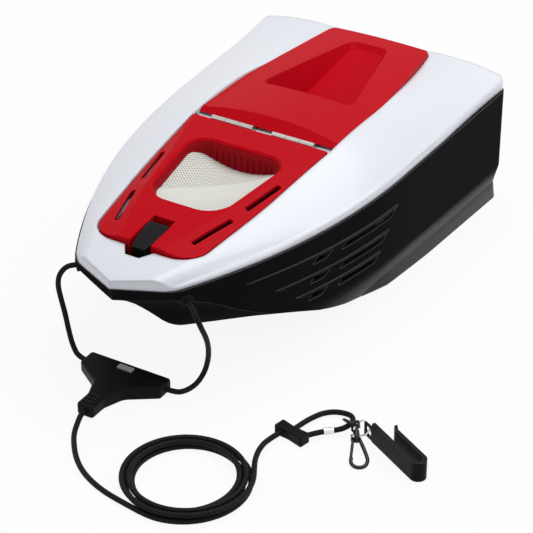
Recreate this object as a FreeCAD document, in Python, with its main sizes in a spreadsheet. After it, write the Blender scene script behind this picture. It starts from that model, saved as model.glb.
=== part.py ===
import FreeCAD, Part
import Sketcher
import math
import os
import re
from types import SimpleNamespace
from FreeCAD import Placement, Rotation, Vector

# A towable keep boat for live bait fish: black hull, white deck, red rear panel and hinged red lid,
# with a bridle and a coiled tow line that ends in a belt clip and a snap hook.
# +X is starboard, the bow points along -Y, +Z is up; the origin is on the floor under the boat's middle.

SIZES = {
    # Plan of the boat: places along it and the heights of the line where hull and deck meet
    "boat_length": 460.0, "fore_place": 190.0, "mid_place": 40.0, "bow_angle": 24.0,
    "sheer_bow_height": 101.0, "sheer_stern_height": 114.0, "stern_corner": 9.0, "cut_overrun": 20.0,
    # Half widths of the hull at its levels, each at the fore place, the mid place and the stern
    "top_level": 140.0, "top_tip": 241.6, "top_fore": 67.0, "top_mid": 126.4, "top_stern": 132.0,
    "step_level": 36.0, "step_tip": 206.0, "step_fore": 43.0, "step_mid": 120.0, "step_stern": 132.0,
    "skirt_level": 17.0, "skirt_tip": 199.0, "skirt_fore": 38.0, "skirt_mid": 114.5, "skirt_stern": 127.0,
    "sole_tip": 193.0, "sole_fore": 36.0, "sole_mid": 119.0, "sole_stern": 129.0,
    "step_tilt": 2.6, "shoulder": 26.0, "hull_wall": 2.8, "flange_width": 12.0, "flange_thick": 3.0,
    # Louvres in the hull's sides: an overhanging ridge with a long and a short slot under it
    "ridge_proud": 2.2, "ridge_fade": 13.0, "slot_height": 6.5, "slot_drop": 3.0, "ridge_point": 22.0,
    "ridge_top_level": 86.0, "ridge_mid_level": 66.0, "ridge_low_level": 48.5,
    "ridge_top_fore": 148.0, "ridge_mid_fore": 117.0, "ridge_low_fore": 95.0,
    "ridge_top_aft": 31.0, "ridge_mid_aft": 20.0, "ridge_low_aft": 10.0,
    "slot_fore": 79.0, "slot_bridge": 16.0, "slot_short": 18.0,
    # Deck: plan at the sheer, rim, collar round the hatch and ledges that carry lid and panel
    "deck_fore": 58.3, "deck_mid": 123.2, "deck_stern": 130.6, "deck_wall": 2.6, "flank_crown": 2.6,
    "rim_bow": 4.5, "rim_mid": 8.0, "rim_stern": 12.0, "rim_round": 3.2, "collar_height": 135.6,
    "ledge_width": 7.0, "hatch_gap": 1.4, "seat_gap": 0.3,
    # Lid: plan, heights of its rim and of its raised middle, wall and skirt
    "lid_rear": 4.0, "lid_rear_half": 68.5, "lid_waist_half": 61.6, "lid_waist_place": 90.0,
    "lid_front_half": 49.5, "lid_front": 184.0, "lid_corner": 24.0, "lid_waist_round": 500.0,
    "lid_rear_height": 135.0, "lid_front_height": 115.2, "lid_raise": 5.6, "lid_wall": 2.6, "lid_skirt": 6.0,
    # Window in the lid, its collar and the net flaps in it
    "window_rear": 28.0, "window_rear_half": 46.0, "window_front": 121.0, "window_front_half": 33.0,
    "window_rear_round": 15.0, "window_front_round": 21.0, "collar_wall": 2.4, "collar_foot": 104.0,
    "rib_wide": 1.6, "rib_deep": 1.0, "net_thick": 0.8, "net_level": 122.0, "net_sag": 5.0, "net_lap": 9.0,
    "net_gap": 0.0, "net_turn": 43.5, "net_middle": 75.5, "net_rise": 1.3,
    # Slots in the lid's bevelled sides
    "lid_slot_wide": 4.6, "rear_slot_long": 44.0, "front_slot_long": 45.0,
    "rear_slot_x": 55.0, "rear_slot_y": 81.0, "rear_slot_turn": 9.2,
    "front_slot_x": 43.0, "front_slot_y": 142.0, "front_slot_turn": 14.8,
    # Rear panel, its crowned top, sloping front and hand well
    "panel_front": 16.0, "panel_half": 69.4, "panel_waist_place": 96.0, "panel_rear_half": 52.0,
    "panel_rear": 226.5, "panel_waist_round": 260.0, "panel_height": 135.4, "panel_rear_height": 131.4,
    "panel_crown": 4.2, "panel_slope_run": 12.0, "panel_wall": 2.6, "panel_skirt": 7.0, "panel_gap": 0.4,
    "well_front": 84.0, "well_rear": 219.0, "well_front_half": 51.0, "well_rear_half": 22.0,
    "well_round": 7.0,
    "well_floor_front": 98.0, "well_floor_half": 31.0, "well_floor_rear_half": 17.0, "well_floor_rear": 205.0,
    "well_draft": 5.0,
    # Hinges: two butt hinges of three knuckles
    "hinge_y": 10.0, "hinge_z": 133.0, "hinge_offset": 31.0, "hinge_width": 42.0, "knuckle_radius": 3.0,
    "pin_radius": 1.5, "pin_clear": 0.05, "leaf_thick": 1.2, "leaf_reach": 14.0, "knuckle_gap": 0.4,
    "bar_top": 129.6, "bar_thick": 8.0, "bar_rear": 36.0, "leaf_screw_pitch": 26.0,
    "small_screw_radius": 1.3, "small_head_radius": 2.4, "small_head": 1.0, "small_screw_long": 5.0,
    # Latch: lever, pin and the notch in the deck
    "channel_half": 10.4, "channel_rear": 147.0, "channel_deep": 12.0, "lever_half": 9.0,
    "lever_nose_half": 6.2, "lever_pin_y": 170.0, "lever_pin_z": 113.5, "lever_pin_radius": 1.6,
    "lever_roll_radius": 3.4, "lever_roll_y": 156.5, "lever_roll_z": 120.4, "lever_thick": 3.6,
    "lever_front": 187.0, "lever_front_z": 115.4, "nose_foot": 105.5, "nose_thick": 3.6,
    "notch_front": 196.5, "notch_half": 6.7, "notch_rear_half": 12.8, "notch_round": 1.0,
    # Screws of deck, panel and ballast
    "screw_radius": 1.75, "screw_head_radius": 3.6, "screw_head": 2.2, "screw_long": 8.5, "boss_radius": 4.4,
    "screw_inset": 7.6, "screw_clear": 0.05,
    # Foam floats and ballast
    "float_front": 30.0, "float_rear": 212.0, "float_inner": 86.0, "float_foot": 60.0, "float_top": 96.0,
    "ballast_long": 110.0, "ballast_wide": 70.0, "ballast_thick": 7.0, "ballast_place": 156.0,
    "ballast_round": 8.0, "ballast_screw_pitch": 88.0, "ballast_screw_long": 8.6,
    # Bow grommets with the bridle's stop knots
    "grommet_height": 90.6, "grommet_radius": 4.4, "grommet_flange": 6.0, "grommet_lip": 1.4,
    "knot_radius": 5.2, "cord_clear": 0.2,
    # Cord of bridle and tow line, with its coil
    "cord_diameter": 4.6, "coil_x": 117.5, "coil_y": -302.0, "coil_radius": 53.0, "coil_pitch": 5.8,
    "coil_climb": 5.2,
    # Yoke of the bridle
    "yoke_x": 0.0, "yoke_y": -203.0, "yoke_half": 40.0, "yoke_bar": 17.0, "yoke_long": 69.0,
    "yoke_waist": 15.0, "yoke_stem_half": 8.0, "yoke_thick": 12.0, "yoke_round": 3.0, "yoke_lift": 0.2,
    "yoke_rib_wide": 1.6, "yoke_rib_high": 1.2, "yoke_rib_pitch": 4.6,
    "insert_long": 14.0, "insert_wide": 5.0, "insert_thick": 3.0,
    # Cord stopper and ferrule
    "stopper_x": 159.0, "stopper_y": -209.5, "stopper_turn": -12.0, "stopper_long": 29.0,
    "stopper_wide": 11.5, "stopper_waist": 8.6, "stopper_high": 9.0, "stopper_round": 1.6,
    "cord_seat": 4.0, "ferrule_long": 8.0, "ferrule_wall": 0.6,
    # Link ring, split ring, snap hook and belt clip
    "link_x": 194.6, "link_y": -175.2, "link_z": 6.5, "link_radius": 7.0, "link_wire": 1.1, "link_turn": -6.0,
    "link_tilt": 45.0, "split_radius": 6.2, "split_wire": 0.8, "ring_gap": 0.3,
    "clip_turn": -29.3, "clip_long": 57.0, "clip_gap": 8.0, "clip_thick": 3.0, "clip_high": 18.0,
    "clip_far_long": 46.0, "clip_tab_long": 12.0, "clip_tab_high": 12.4, "clip_eye_radius": 4.4,
    "clip_eye_inset": 6.2, "clip_barb": 3.0, "clip_lift": 0.2, "clip_tab_thick": 2.0,
    "eye_radius": 4.4, "eye_wire": 1.0, "eye_turn": -35.0, "snap_heading": -56.0, "snap_drop": 9.0,
    "stem_radius": 1.2, "barrel_radius": 2.6, "barrel_long": 6.0, "shoulder_radius": 3.3,
    "shoulder_long": 4.0,
    "hook_wire": 1.6, "hook_long": 35.0, "hook_half": 7.2, "gate_radius": 1.2, "gate_pin_radius": 0.7,
    "gate_open": 22.0,
}

doc = FreeCAD.newDocument("bait_boat")
sheet = doc.addObject("Spreadsheet::Sheet", "Sizes")
for row, (alias, value) in enumerate(SIZES.items(), start=1):
    sheet.set(f"A{row}", alias)
    sheet.set(f"B{row}", str(value))
    sheet.setAlias(f"B{row}", alias)
doc.recompute()
s = SimpleNamespace(**{alias: float(sheet.get(alias)) for alias in SIZES})

stern_place = s.boat_length / 2
sheer_slope = (s.sheer_stern_height - s.sheer_bow_height) / s.boat_length
sheer_angle = math.degrees(math.atan(sheer_slope))
sheer_middle = (s.sheer_stern_height + s.sheer_bow_height) / 2
span = s.boat_length
nodes = {}


def bound(words):
    """Turns size names in a formula into references to the sheet's cells."""
    return re.sub(r"[a-z]\w*", lambda found: "Sizes." + found.group(0), words)


def bind(item, **formulas):
    """Binds an object's properties to formulas of the sheet's sizes."""
    for name, words in formulas.items():
        item.setExpression(name, bound(words))
    return item


def at(item, x="0", y="0", z="0"):
    """Binds an object's place to formulas of the sheet's sizes."""
    for axis, words in zip("xyz", (x, y, z)):
        if words != "0":
            item.setExpression("Placement.Base." + axis, bound(words))
    return item


def box(name, long, wide, high, x="0", y="0", z="0"):
    return at(bind(doc.addObject("Part::Box", name), Length=long, Width=wide, Height=high), x, y, z)


def rod(name, radius, long, x="0", y="0", z="0", turn=None):
    item = bind(doc.addObject("Part::Cylinder", name), Radius=radius, Height=long)
    if turn:
        item.Placement = Placement(Vector(), turn)
    return at(item, x, y, z)


ON_AXIS_SHARE = 0.99
ALONG_X = Rotation(Vector(0, 1, 0), 90)
ALONG_Y = Rotation(Vector(1, 0, 0), -90)


def cut(name, base, tool):
    item = doc.addObject("Part::Cut", name)
    item.Base = base
    item.Tool = tool
    return item


def fuse(name, *items):
    item = doc.addObject("Part::MultiFuse", name)
    item.Shapes = list(items)
    item.Refine = True
    return item


def feature(name, shape):
    """A piece whose shape is worked out below from the sheet's sizes."""
    item = doc.addObject("Part::Feature", name)
    item.Shape = shape
    return item


def node(item, label, place=None):
    item.Label = label
    if place:
        item.Placement = place
    nodes[label] = item
    return item


def line(a, b):
    return Part.LineSegment(Vector(*a), Vector(*b)).toShape()


def arc(a, b, c):
    return Part.Arc(Vector(*a), Vector(*b), Vector(*c)).toShape()


def rounded(points, radii, height=0.0):
    """Closed level outline: straight sides with each corner rounded to its own radius."""
    edges = []
    starts = []
    ends = []
    count = len(points)
    for i in range(count):
        corner = Vector(*points[i], height)
        before = (Vector(*points[i - 1], height) - corner).normalize()
        after = (Vector(*points[(i + 1) % count], height) - corner).normalize()
        half = before.getAngle(after) / 2
        if radii[i] == 0:
            starts.append(corner)
            ends.append(corner)
            edges.append(None)
            continue
        reach = radii[i] / math.tan(half)
        middle = (before + after).normalize()
        centre = corner + middle * (radii[i] / math.sin(half))
        starts.append(corner + before * reach)
        ends.append(corner + after * reach)
        edges.append(Part.Arc(starts[i], centre - middle * radii[i], ends[i]).toShape())
    wire = []
    for i in range(count):
        if edges[i]:
            wire.append(edges[i])
        wire.append(Part.LineSegment(ends[i], starts[(i + 1) % count]).toShape())
    return Part.Wire(wire)


def prism(wire, low, high):
    """Upright solid on a level outline."""
    face = Part.Face(wire)
    face.translate(Vector(0, 0, low - wire.BoundBox.ZMin))
    return face.extrude(Vector(0, 0, high - low))


def mirrored_points(points):
    """Right half of an outline, bow to stern, completed with its left half."""
    return points + [(-x, y) for x, y in reversed(points)]


def half_space(height, angle, above=True):
    """Big block above or below a plane through the middle of the boat, tilted about X."""
    block = Part.makeBox(2 * span, 2 * span, span, Vector(-span, -span, 0 if above else -span))
    block.rotate(Vector(), Vector(1, 0, 0), angle)
    block.translate(Vector(0, 0, height))
    return block


# Plan outline shared by hull and deck: blunt V bow, round shoulders, bowed sides, flat stern
def boat_outline(height, tip, fore, mid, stern, shoulder, inset=0.0):
    angle = math.radians(s.bow_angle)
    along = Vector(math.cos(angle), math.sin(angle), 0)
    inward = Vector(-math.sin(angle), math.cos(angle), 0)
    start = Vector(0, -tip + inset / math.cos(angle), 0)
    middle = Vector(mid - inset, s.mid_place, 0)
    corner = Vector(stern - inset, stern_place - inset, 0)
    heading = (corner - middle).normalize()
    normal = Vector(-heading.y, heading.x, 0)
    chord = Vector(fore - inset, -s.fore_place, 0) - middle
    radius = chord.dot(chord) / (2 * chord.dot(normal))
    centre = middle + normal * radius
    small = shoulder - inset
    offset = start + inward * small - centre
    run = offset.dot(along)
    reach = -run + math.sqrt(run * run - offset.dot(offset) + (radius - small) ** 2)
    hub = start + inward * small + along * reach
    first = hub - inward * small
    second = centre + (hub - centre).normalize() * radius
    shoulder_middle = hub + ((first - hub) + (second - hub)).normalize() * small
    side_middle = centre + ((second - centre) + (middle - centre)).normalize() * radius
    turn = s.stern_corner - inset / 2
    back = heading.getAngle(Vector(-1, 0, 0))
    before = corner - heading * (turn * math.tan(back / 2))
    after = corner - Vector(turn * math.tan(back / 2), 0, 0)
    hub_stern = before + normal * turn
    stern_middle = hub_stern + ((before - hub_stern) + (after - hub_stern)).normalize() * turn
    right = [("line", start, None, first), ("arc", first, shoulder_middle, second),
             ("arc", second, side_middle, middle), ("line", middle, None, before),
             ("arc", before, stern_middle, after)]
    edges = []
    for side in (1, -1):
        half = []
        for kind, a, m, b in right:
            ends = [Vector(side * v.x, v.y, height) for v in (a, m, b) if v is not None]
            shape = Part.LineSegment(*ends) if kind == "line" else Part.Arc(*ends)
            half.append(shape.toShape())
        edges.append(half)
    close = Part.LineSegment(Vector(after.x, after.y, height), Vector(-after.x, after.y, height)).toShape()
    return Part.Wire(edges[0] + [close] + list(reversed(edges[1])))


def hull_sides(inset):
    """The hull's sides as a ruled loft through its levels: sole, skirt top, step and top."""
    pivot = Vector(0, stern_place, 0)
    levels = []
    for height, tip, fore, mid, stern, tilt in (
            (0.0, s.sole_tip, s.sole_fore, s.sole_mid, s.sole_stern, 0.0),
            (s.skirt_level, s.skirt_tip, s.skirt_fore, s.skirt_mid, s.skirt_stern, s.step_tilt),
            (s.step_level, s.step_tip, s.step_fore, s.step_mid, s.step_stern, s.step_tilt),
            (s.top_level, s.top_tip, s.top_fore, s.top_mid, s.top_stern, 0.0)):
        wire = boat_outline(height, tip, fore, mid, stern, s.shoulder, inset)
        wire.rotate(pivot + Vector(0, 0, height), Vector(1, 0, 0), tilt)
        levels.append(wire)
    return Part.makeLoft(levels, True, True)


# Keel line from bow to stern: places as shares of the length, heights of the bow's sheer height,
# and the rise of the bottom to each side as shares of the half width
KEEL_PLACE_SHARES = (-0.53, -0.49, -0.437, -0.376, -0.326, -0.287, -0.252, -0.19, -0.126, -0.04, 0.1, 0.55)
KEEL_HEIGHT_SHARES = (0.955, 0.874, 0.723, 0.465, 0.233, 0.104, 0.022, 0.0, 0.0, 0.0, 0.0, 0.0)
KEEL_RISE_SHARES = (0.2, 0.26, 0.36, 0.46, 0.5, 0.5, 0.46, 0.33, 0.19, 0.07, 0.0, 0.0)


NEAR_CORNER_SHARE = 0.75


def keel_solid(lift):
    """Everything above the hull's bottom, as a loft of V sections along the boat."""
    rows = [Vector(*row) for row in zip(KEEL_PLACE_SHARES, KEEL_HEIGHT_SHARES, KEEL_RISE_SHARES)]
    fine = rows[:1]
    for a, b in zip(rows, rows[1:]):
        fine += [b + (a - b) * NEAR_CORNER_SHARE, a + (b - a) * NEAR_CORNER_SHARE]
    sections = []
    for place, height, rise in fine + rows[-1:]:
        y = place * s.boat_length
        foot = height * s.sheer_bow_height + lift
        chine = foot + rise * span / 2
        half = span / 2
        low = Vector(0, y, foot)
        right = [Vector(half, y, chine), Vector(half, y, span)]
        left = [Vector(-half, y, span), Vector(-half, y, chine)]
        sections.append(Part.makePolygon([low] + right + left + [low]))
    return Part.makeLoft(sections, True, True)


above_sheer = half_space(sheer_middle, sheer_angle)
below_sheer = half_space(sheer_middle, sheer_angle, above=False)


def hull_body(inset, lift):
    return hull_sides(inset).common(keel_solid(lift)).common(below_sheer)


def level_outline(height, inset):
    """Outline of the hull's upper side at any height between the step and the top level."""
    share = (height - s.step_level) / (s.top_level - s.step_level)
    widths = [low + share * (high - low) for low, high in (
        (s.step_tip, s.top_tip), (s.step_fore, s.top_fore), (s.step_mid, s.top_mid),
        (s.step_stern, s.top_stern))]
    return boat_outline(height, *widths, s.shoulder, inset)


def side_prism(points):
    """Solid through the whole width of the boat on an outline seen from the side."""
    wire = Part.makePolygon([Vector(-span / 2, y, z) for y, z in points + points[:1]])
    return Part.Face(wire).extrude(Vector(span, 0, 0))


RIDGES = ((s.ridge_top_level, s.ridge_top_fore, s.ridge_top_aft),
          (s.ridge_mid_level, s.ridge_mid_fore, s.ridge_mid_aft),
          (s.ridge_low_level, s.ridge_low_fore, s.ridge_low_aft))


def make_hull():
    outer = hull_body(0.0, 0.0)
    inner = hull_body(s.hull_wall, s.hull_wall)
    for level, fore, aft in RIDGES:
        band = Part.makeLoft([level_outline(level - s.ridge_fade, 0.0), level_outline(level, -s.ridge_proud)],
                             True, True)
        shape = side_prism([(-fore, level), (aft, level), (aft - s.ridge_point, level - s.ridge_fade),
                            (-fore + s.ridge_point * 2, level - s.ridge_fade)])
        outer = outer.fuse(band.common(shape).common(keel_solid(0.0)))
    shell = outer.cut(inner)
    flange = hull_body(0.0, 0.0).common(half_space(sheer_middle - s.flange_thick, sheer_angle))
    flange = flange.cut(prism(deck_outline(s.flange_width), 0.0, span))
    shell = shell.fuse(flange)
    for level, fore, aft in RIDGES:
        top = level - s.slot_drop
        low = top - s.slot_height
        lean = s.slot_height / 2
        long_start = -s.slot_fore + s.slot_short + s.slot_bridge
        for start, end in ((-s.slot_fore, -s.slot_fore + s.slot_short), (long_start, aft - lean)):
            slot = [(start, low), (end - lean, low), (end + lean, top), (start + lean, top)]
            shell = shell.cut(side_prism(slot))
    return shell.removeSplitter()


RIM_OVERHANG_SHARE = 1.15


def deck_profile(y, collar_half, collar_z, rim_half, rim_z):
    """Section across the deck: level middle, a crowned flank down to the rim, and square sides below."""
    out = s.rim_round * RIM_OVERHANG_SHARE
    flank = Vector(rim_half - collar_half, 0, rim_z - collar_z)
    bulge = Vector(-flank.z, 0, flank.x).normalize() * s.flank_crown
    top = Vector(collar_half, y, collar_z)
    rim = Vector(rim_half, y, rim_z)
    crest = (top + rim) * 0.5 + bulge
    edge = rim + Vector(out, 0, -out)
    turn = rim + Vector(math.sqrt(0.5), 0, math.sqrt(0.5) - 1) * out
    foot = Vector(edge.x, y, 0)

    def left(v):
        return Vector(-v.x, v.y, v.z)
    return Part.Wire([
        Part.LineSegment(left(top), top).toShape(), Part.Arc(top, crest, rim).toShape(),
        Part.Arc(rim, turn, edge).toShape(), Part.LineSegment(edge, foot).toShape(),
        Part.LineSegment(foot, left(foot)).toShape(), Part.LineSegment(left(foot), left(edge)).toShape(),
        Part.Arc(left(edge), left(turn), left(rim)).toShape(),
        Part.Arc(left(rim), left(crest), left(top)).toShape()])


lid_slope = (s.lid_rear_height - s.lid_front_height) / (s.lid_rear + s.lid_front)
lid_angle = math.degrees(math.atan(lid_slope))


def lid_plane(y):
    return s.lid_rear_height + lid_slope * (y - s.lid_rear)


def sheer(y):
    return sheer_middle + sheer_slope * y


panel_slope = (s.panel_rear_height - s.panel_height) / (s.panel_rear - s.panel_front)
panel_angle = math.degrees(math.atan(panel_slope))


def panel_plane(y):
    return s.panel_height + panel_slope * (y - s.panel_front)


LID_NOSE_SHARE = 0.8


def deck_top(drop):
    """Everything below the deck's top surface, lowered by the drop."""
    bow = -stern_place
    waist = -s.lid_waist_place
    aft = s.panel_waist_place

    def rim_half(y):
        return boat_half(y, s.deck_fore, s.deck_mid, s.deck_stern) - s.rim_round
    stations = (
        (bow - s.cut_overrun / 2, s.lid_front_half / 4, sheer(bow) + s.rim_bow, s.deck_fore / 2, sheer(bow)),
        (-s.fore_place, s.lid_front_half * LID_NOSE_SHARE, lid_plane(-s.lid_front), s.deck_fore - s.rim_round,
         sheer(-s.fore_place) + s.rim_bow),
        (waist, s.lid_waist_half, lid_plane(waist), rim_half(waist),
         sheer(waist) + (s.rim_bow + s.rim_mid) / 2),
        (s.lid_rear, s.lid_rear_half, s.lid_rear_height, rim_half(s.lid_rear), sheer(s.lid_rear) + s.rim_mid),
        (aft, s.panel_half, s.collar_height, rim_half(aft), sheer(aft) + s.rim_mid + s.rim_round / 3),
        (stern_place + s.cut_overrun / 2, s.panel_rear_half, s.panel_rear_height + s.panel_crown / 2,
         s.deck_stern - s.rim_round, sheer(stern_place) + s.rim_stern))
    loft = Part.makeLoft([deck_profile(*station) for station in stations], True, False)
    loft.translate(Vector(0, 0, -drop))
    return loft


def deck_outline(inset):
    return boat_outline(0.0, stern_place, s.deck_fore, s.deck_mid, s.deck_stern, s.shoulder, inset)


def lid_outline(grow):
    right = [(s.lid_front_half + grow, -s.lid_front - grow), (s.lid_waist_half + grow, -s.lid_waist_place),
             (s.lid_rear_half + grow, s.lid_rear + grow)]
    radii = [s.lid_corner + grow, s.lid_waist_round, 0.0]
    return rounded(mirrored_points(right), radii + radii[::-1])


def panel_outline(grow):
    right = [(s.panel_half + grow, s.panel_front - grow), (s.panel_half + grow, s.panel_waist_place),
             (s.panel_rear_half + grow, s.panel_rear + grow)]
    radii = [0.0, s.panel_waist_round, s.well_round]
    return rounded(mirrored_points(right), radii + radii[::-1])


# Stations of the lid from its rear edge to past its front: place, height of the middle, width of the crease
LID_PLACE_SHARES = (-0.06, 0.128, 0.34, 0.61, 0.79, 1.06)
LID_RAISE_SHARES = (0.02, 0.27, 0.71, 1.0, 1.0, 0.95)
LID_CREASE_SHARES = (0.98, 0.93, 0.83, 0.74, 0.62, 0.36)


def lid_top(drop):
    """Everything below the lid's top: a raised middle that widens aft, with bevelled sides."""
    sections = []
    for place, raised, crease in zip(LID_PLACE_SHARES, LID_RAISE_SHARES, LID_CREASE_SHARES):
        y = s.lid_rear - place * (s.lid_rear + s.lid_front)
        half = s.lid_rear_half + place * (s.lid_front_half - s.lid_rear_half)
        low = lid_plane(y) - drop
        top = low + raised * s.lid_raise
        inner = crease * half
        fall = (top - low) / (half - inner) * s.cut_overrun
        outer = half + s.cut_overrun
        right = [Vector(inner, y, top), Vector(outer, y, low - fall), Vector(outer, y, 0)]
        left = [Vector(-v.x, v.y, v.z) for v in reversed(right)]
        sections.append(Part.makePolygon(right + left + right[:1]))
    return Part.makeLoft(sections, True, True)


def window_outline(grow):
    right = [(s.window_front_half + grow, -s.window_front - grow),
             (s.window_rear_half + grow, -s.window_rear + grow)]
    radii = [s.window_front_round + grow, s.window_rear_round + grow]
    return rounded(mirrored_points(right), radii + radii[::-1])


LIP_SLOPE_SHARE = 0.58


def window_lip():
    """Funnel that rounds the window's edge, as a loft square to the lid's slope."""
    wires = []
    lean = math.degrees(math.atan(LIP_SLOPE_SHARE * lid_slope))
    for grow, depth in ((s.collar_wall * 4, -s.lid_wall / 2), (s.collar_wall, s.lid_wall),
                        (0.0, s.lid_wall * 3)):
        wire = window_outline(grow)
        wire.rotate(Vector(0, s.lid_rear, 0), Vector(1, 0, 0), lean)
        wire.translate(Vector(0, 0, s.lid_rear_height + s.lid_wall / 2 - depth))
        wires.append(wire)
    return Part.makeLoft(wires, True, False)


def level_box(x_low, x_high, y_low, y_high, z_low, z_high):
    return Part.makeBox(x_high - x_low, y_high - y_low, z_high - z_low, Vector(x_low, y_low, z_low))


channel_floor = lid_plane(0.0) + s.lid_raise - s.channel_deep
floor_front = s.lever_pin_y + s.lever_roll_radius * 2
leaf_top = s.bar_top + s.seat_gap + s.leaf_thick


SLOT_ROUND_SHARE = 0.9


def make_lid():
    solid = prism(lid_outline(0.0), 0.0, span).common(lid_top(0.0))
    hollow = prism(lid_outline(-s.lid_wall), 0.0, span).common(lid_top(s.lid_wall))
    inner = s.lid_rear_half - s.lid_wall
    rear = level_box(-inner, inner, -s.lid_rear, s.lid_rear * 2, 0, span)
    hollow = hollow.fuse(rear.common(lid_top(s.lid_wall)))
    lid = solid.common(half_space(lid_plane(0.0) - s.lid_skirt, lid_angle)).cut(hollow)
    wide = s.channel_half + s.lid_wall
    tray = level_box(-wide, wide, -span, -s.channel_rear + s.lid_wall, 0, span)
    tray = tray.common(half_space(channel_floor - s.lid_wall, lid_angle)).common(solid)
    lid = lid.fuse(tray)
    channel = level_box(-s.channel_half, s.channel_half, -span, -s.channel_rear, 0, span)
    lid = lid.cut(channel.common(half_space(channel_floor, lid_angle)))
    lid = lid.cut(level_box(-s.channel_half, s.channel_half, -span, -floor_front, 0, span))
    for side in (1, -1):
        middle = side * s.hinge_offset
        pad = level_box(middle - s.hinge_width / 2, middle + s.hinge_width / 2,
                        s.hinge_y - s.leaf_reach * 2 + s.lid_rear, s.lid_rear, leaf_top, span)
        lid = lid.fuse(pad.common(solid))
    lid = lid.cut(prism(window_outline(s.collar_wall), 0.0, span)).cut(window_lip())
    for side in (1, -1):
        for x, y, long, turn in ((s.rear_slot_x, s.rear_slot_y, s.rear_slot_long, s.rear_slot_turn),
                                 (s.front_slot_x, s.front_slot_y, s.front_slot_long, s.front_slot_turn)):
            half = s.lid_slot_wide / 2
            slot = rounded([(-half, -long / 2), (half, -long / 2), (half, long / 2), (-half, long / 2)],
                           [half * SLOT_ROUND_SHARE] * 4)
            slot.rotate(Vector(), Vector(0, 0, 1), -side * turn)
            slot.translate(Vector(side * x, -y, 0))
            lid = lid.cut(prism(slot, 0.0, span))
    pin = Part.makeCylinder(s.lever_pin_radius + s.pin_clear, 2 * wide,
                            Vector(-wide, -s.lever_pin_y, s.lever_pin_z), Vector(1, 0, 0))
    lid = lid.cut(pin)
    for x, y in leaf_screw_places(-1):
        lid = lid.cut(Part.makeCylinder(s.small_screw_radius + s.screw_clear, s.small_screw_long,
                                        Vector(x, y, leaf_top - s.small_screw_long / 2)))
    return lid


def leaf_screw_places(way):
    """Screws of the hinge leaves: way -1 on the lid, +1 on the deck."""
    y = s.hinge_y + way * (s.leaf_reach - s.small_head_radius)
    half = s.leaf_screw_pitch / 2
    return [(side * s.hinge_offset + turn * half, y) for side in (-1, 1) for turn in (-1, 1)]


def make_chute():
    """Collar under the window, with upright ribs on its rear wall."""
    tube = prism(window_outline(s.collar_wall - s.seat_gap / 3), s.collar_foot, span)
    tube = tube.cut(prism(window_outline(0.0), 0.0, span))
    rib_count = 11
    pitch = (s.window_rear_half - s.window_rear_round) * 2 / (rib_count - 1)
    for i in range(rib_count):
        x = (i - (rib_count - 1) / 2) * pitch
        tube = tube.fuse(level_box(x - s.rib_wide / 2, x + s.rib_wide / 2, -s.window_rear - s.rib_deep,
                                   -s.window_rear + s.rib_deep, s.collar_foot, span))
    return tube.common(lid_top(s.lid_wall + s.seat_gap / 3)).cut(window_lip())


def make_flap(front):
    """Net flap across the window, sagging between the sides; two flaps lap along a slanting slit."""
    chord = s.window_rear_half
    radius = (chord * chord + s.net_sag * s.net_sag) / (2 * s.net_sag)
    level = s.net_level + (s.net_rise if front else 0.0)
    centre = Vector(0, -span, level - s.net_sag + radius)
    shell = Part.makeCylinder(radius + s.net_thick, 2 * span, centre, Vector(0, 1, 0))
    shell = shell.cut(Part.makeCylinder(radius, 2 * span, centre, Vector(0, 1, 0)))
    region = prism(window_outline(-s.net_gap), 0.0, s.lid_rear_height)
    side = level_box(-span, span, -s.net_lap / 2, span, 0, span)
    side.rotate(Vector(), Vector(0, 0, 1), s.net_turn + (180 if front else 0))
    side.translate(Vector(0, -s.net_middle, 0))
    low = level_box(-span, span, -span, span, s.collar_foot, s.lid_rear_height)
    return shell.common(region).common(side).common(low)


PANEL_REAR_CROWN_SHARE = 0.5


def panel_top(drop):
    """Everything below the rear panel's crowned top."""
    sections = []
    for place, crown in ((s.panel_front - s.cut_overrun, 1.0), (s.panel_waist_place, 1.0),
                         (s.panel_rear + s.cut_overrun, PANEL_REAR_CROWN_SHARE)):
        half = s.panel_half + s.cut_overrun
        rise = s.panel_crown * crown
        edge = panel_plane(place) - drop - rise * ((half / s.panel_half) ** 2 - 1)
        top = panel_plane(place) - drop + rise
        sections.append(Part.Wire([arc((-half, place, edge), (0, place, top), (half, place, edge)),
                                   line((half, place, edge), (half, place, 0)),
                                   line((half, place, 0), (-half, place, 0)),
                                   line((-half, place, 0), (-half, place, edge))]))
    return Part.makeLoft(sections, True, False)


panel_lip = leaf_top + s.small_head + s.seat_gap


def well_solid(grow):
    """Hand well: steep front wall, sloping sides and a floor that ramps up to the stern."""
    top = s.panel_height + s.panel_crown + s.well_draft
    right = [(s.well_front_half + grow, s.well_front - grow), (s.well_rear_half + grow, s.well_rear + grow)]
    mouth = rounded(mirrored_points(right), [s.well_round] * 4)
    mouth.translate(Vector(0, 0, top))
    right = [(s.well_floor_half + grow, s.well_front + s.well_draft - grow),
             (s.well_floor_rear_half + grow, s.well_floor_rear + grow)]
    floor = rounded(mirrored_points(right), [s.well_round] * 4)
    ramp = math.atan((s.panel_rear_height - s.well_floor_front) / (s.well_floor_rear - s.well_front))
    floor.rotate(Vector(0, s.well_front, 0), Vector(1, 0, 0), math.degrees(ramp))
    floor.translate(Vector(0, 0, s.well_floor_front - grow))
    return Part.makeLoft([floor, mouth], True, True)


FRONT_WALL_SHARE = 1.6


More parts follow.
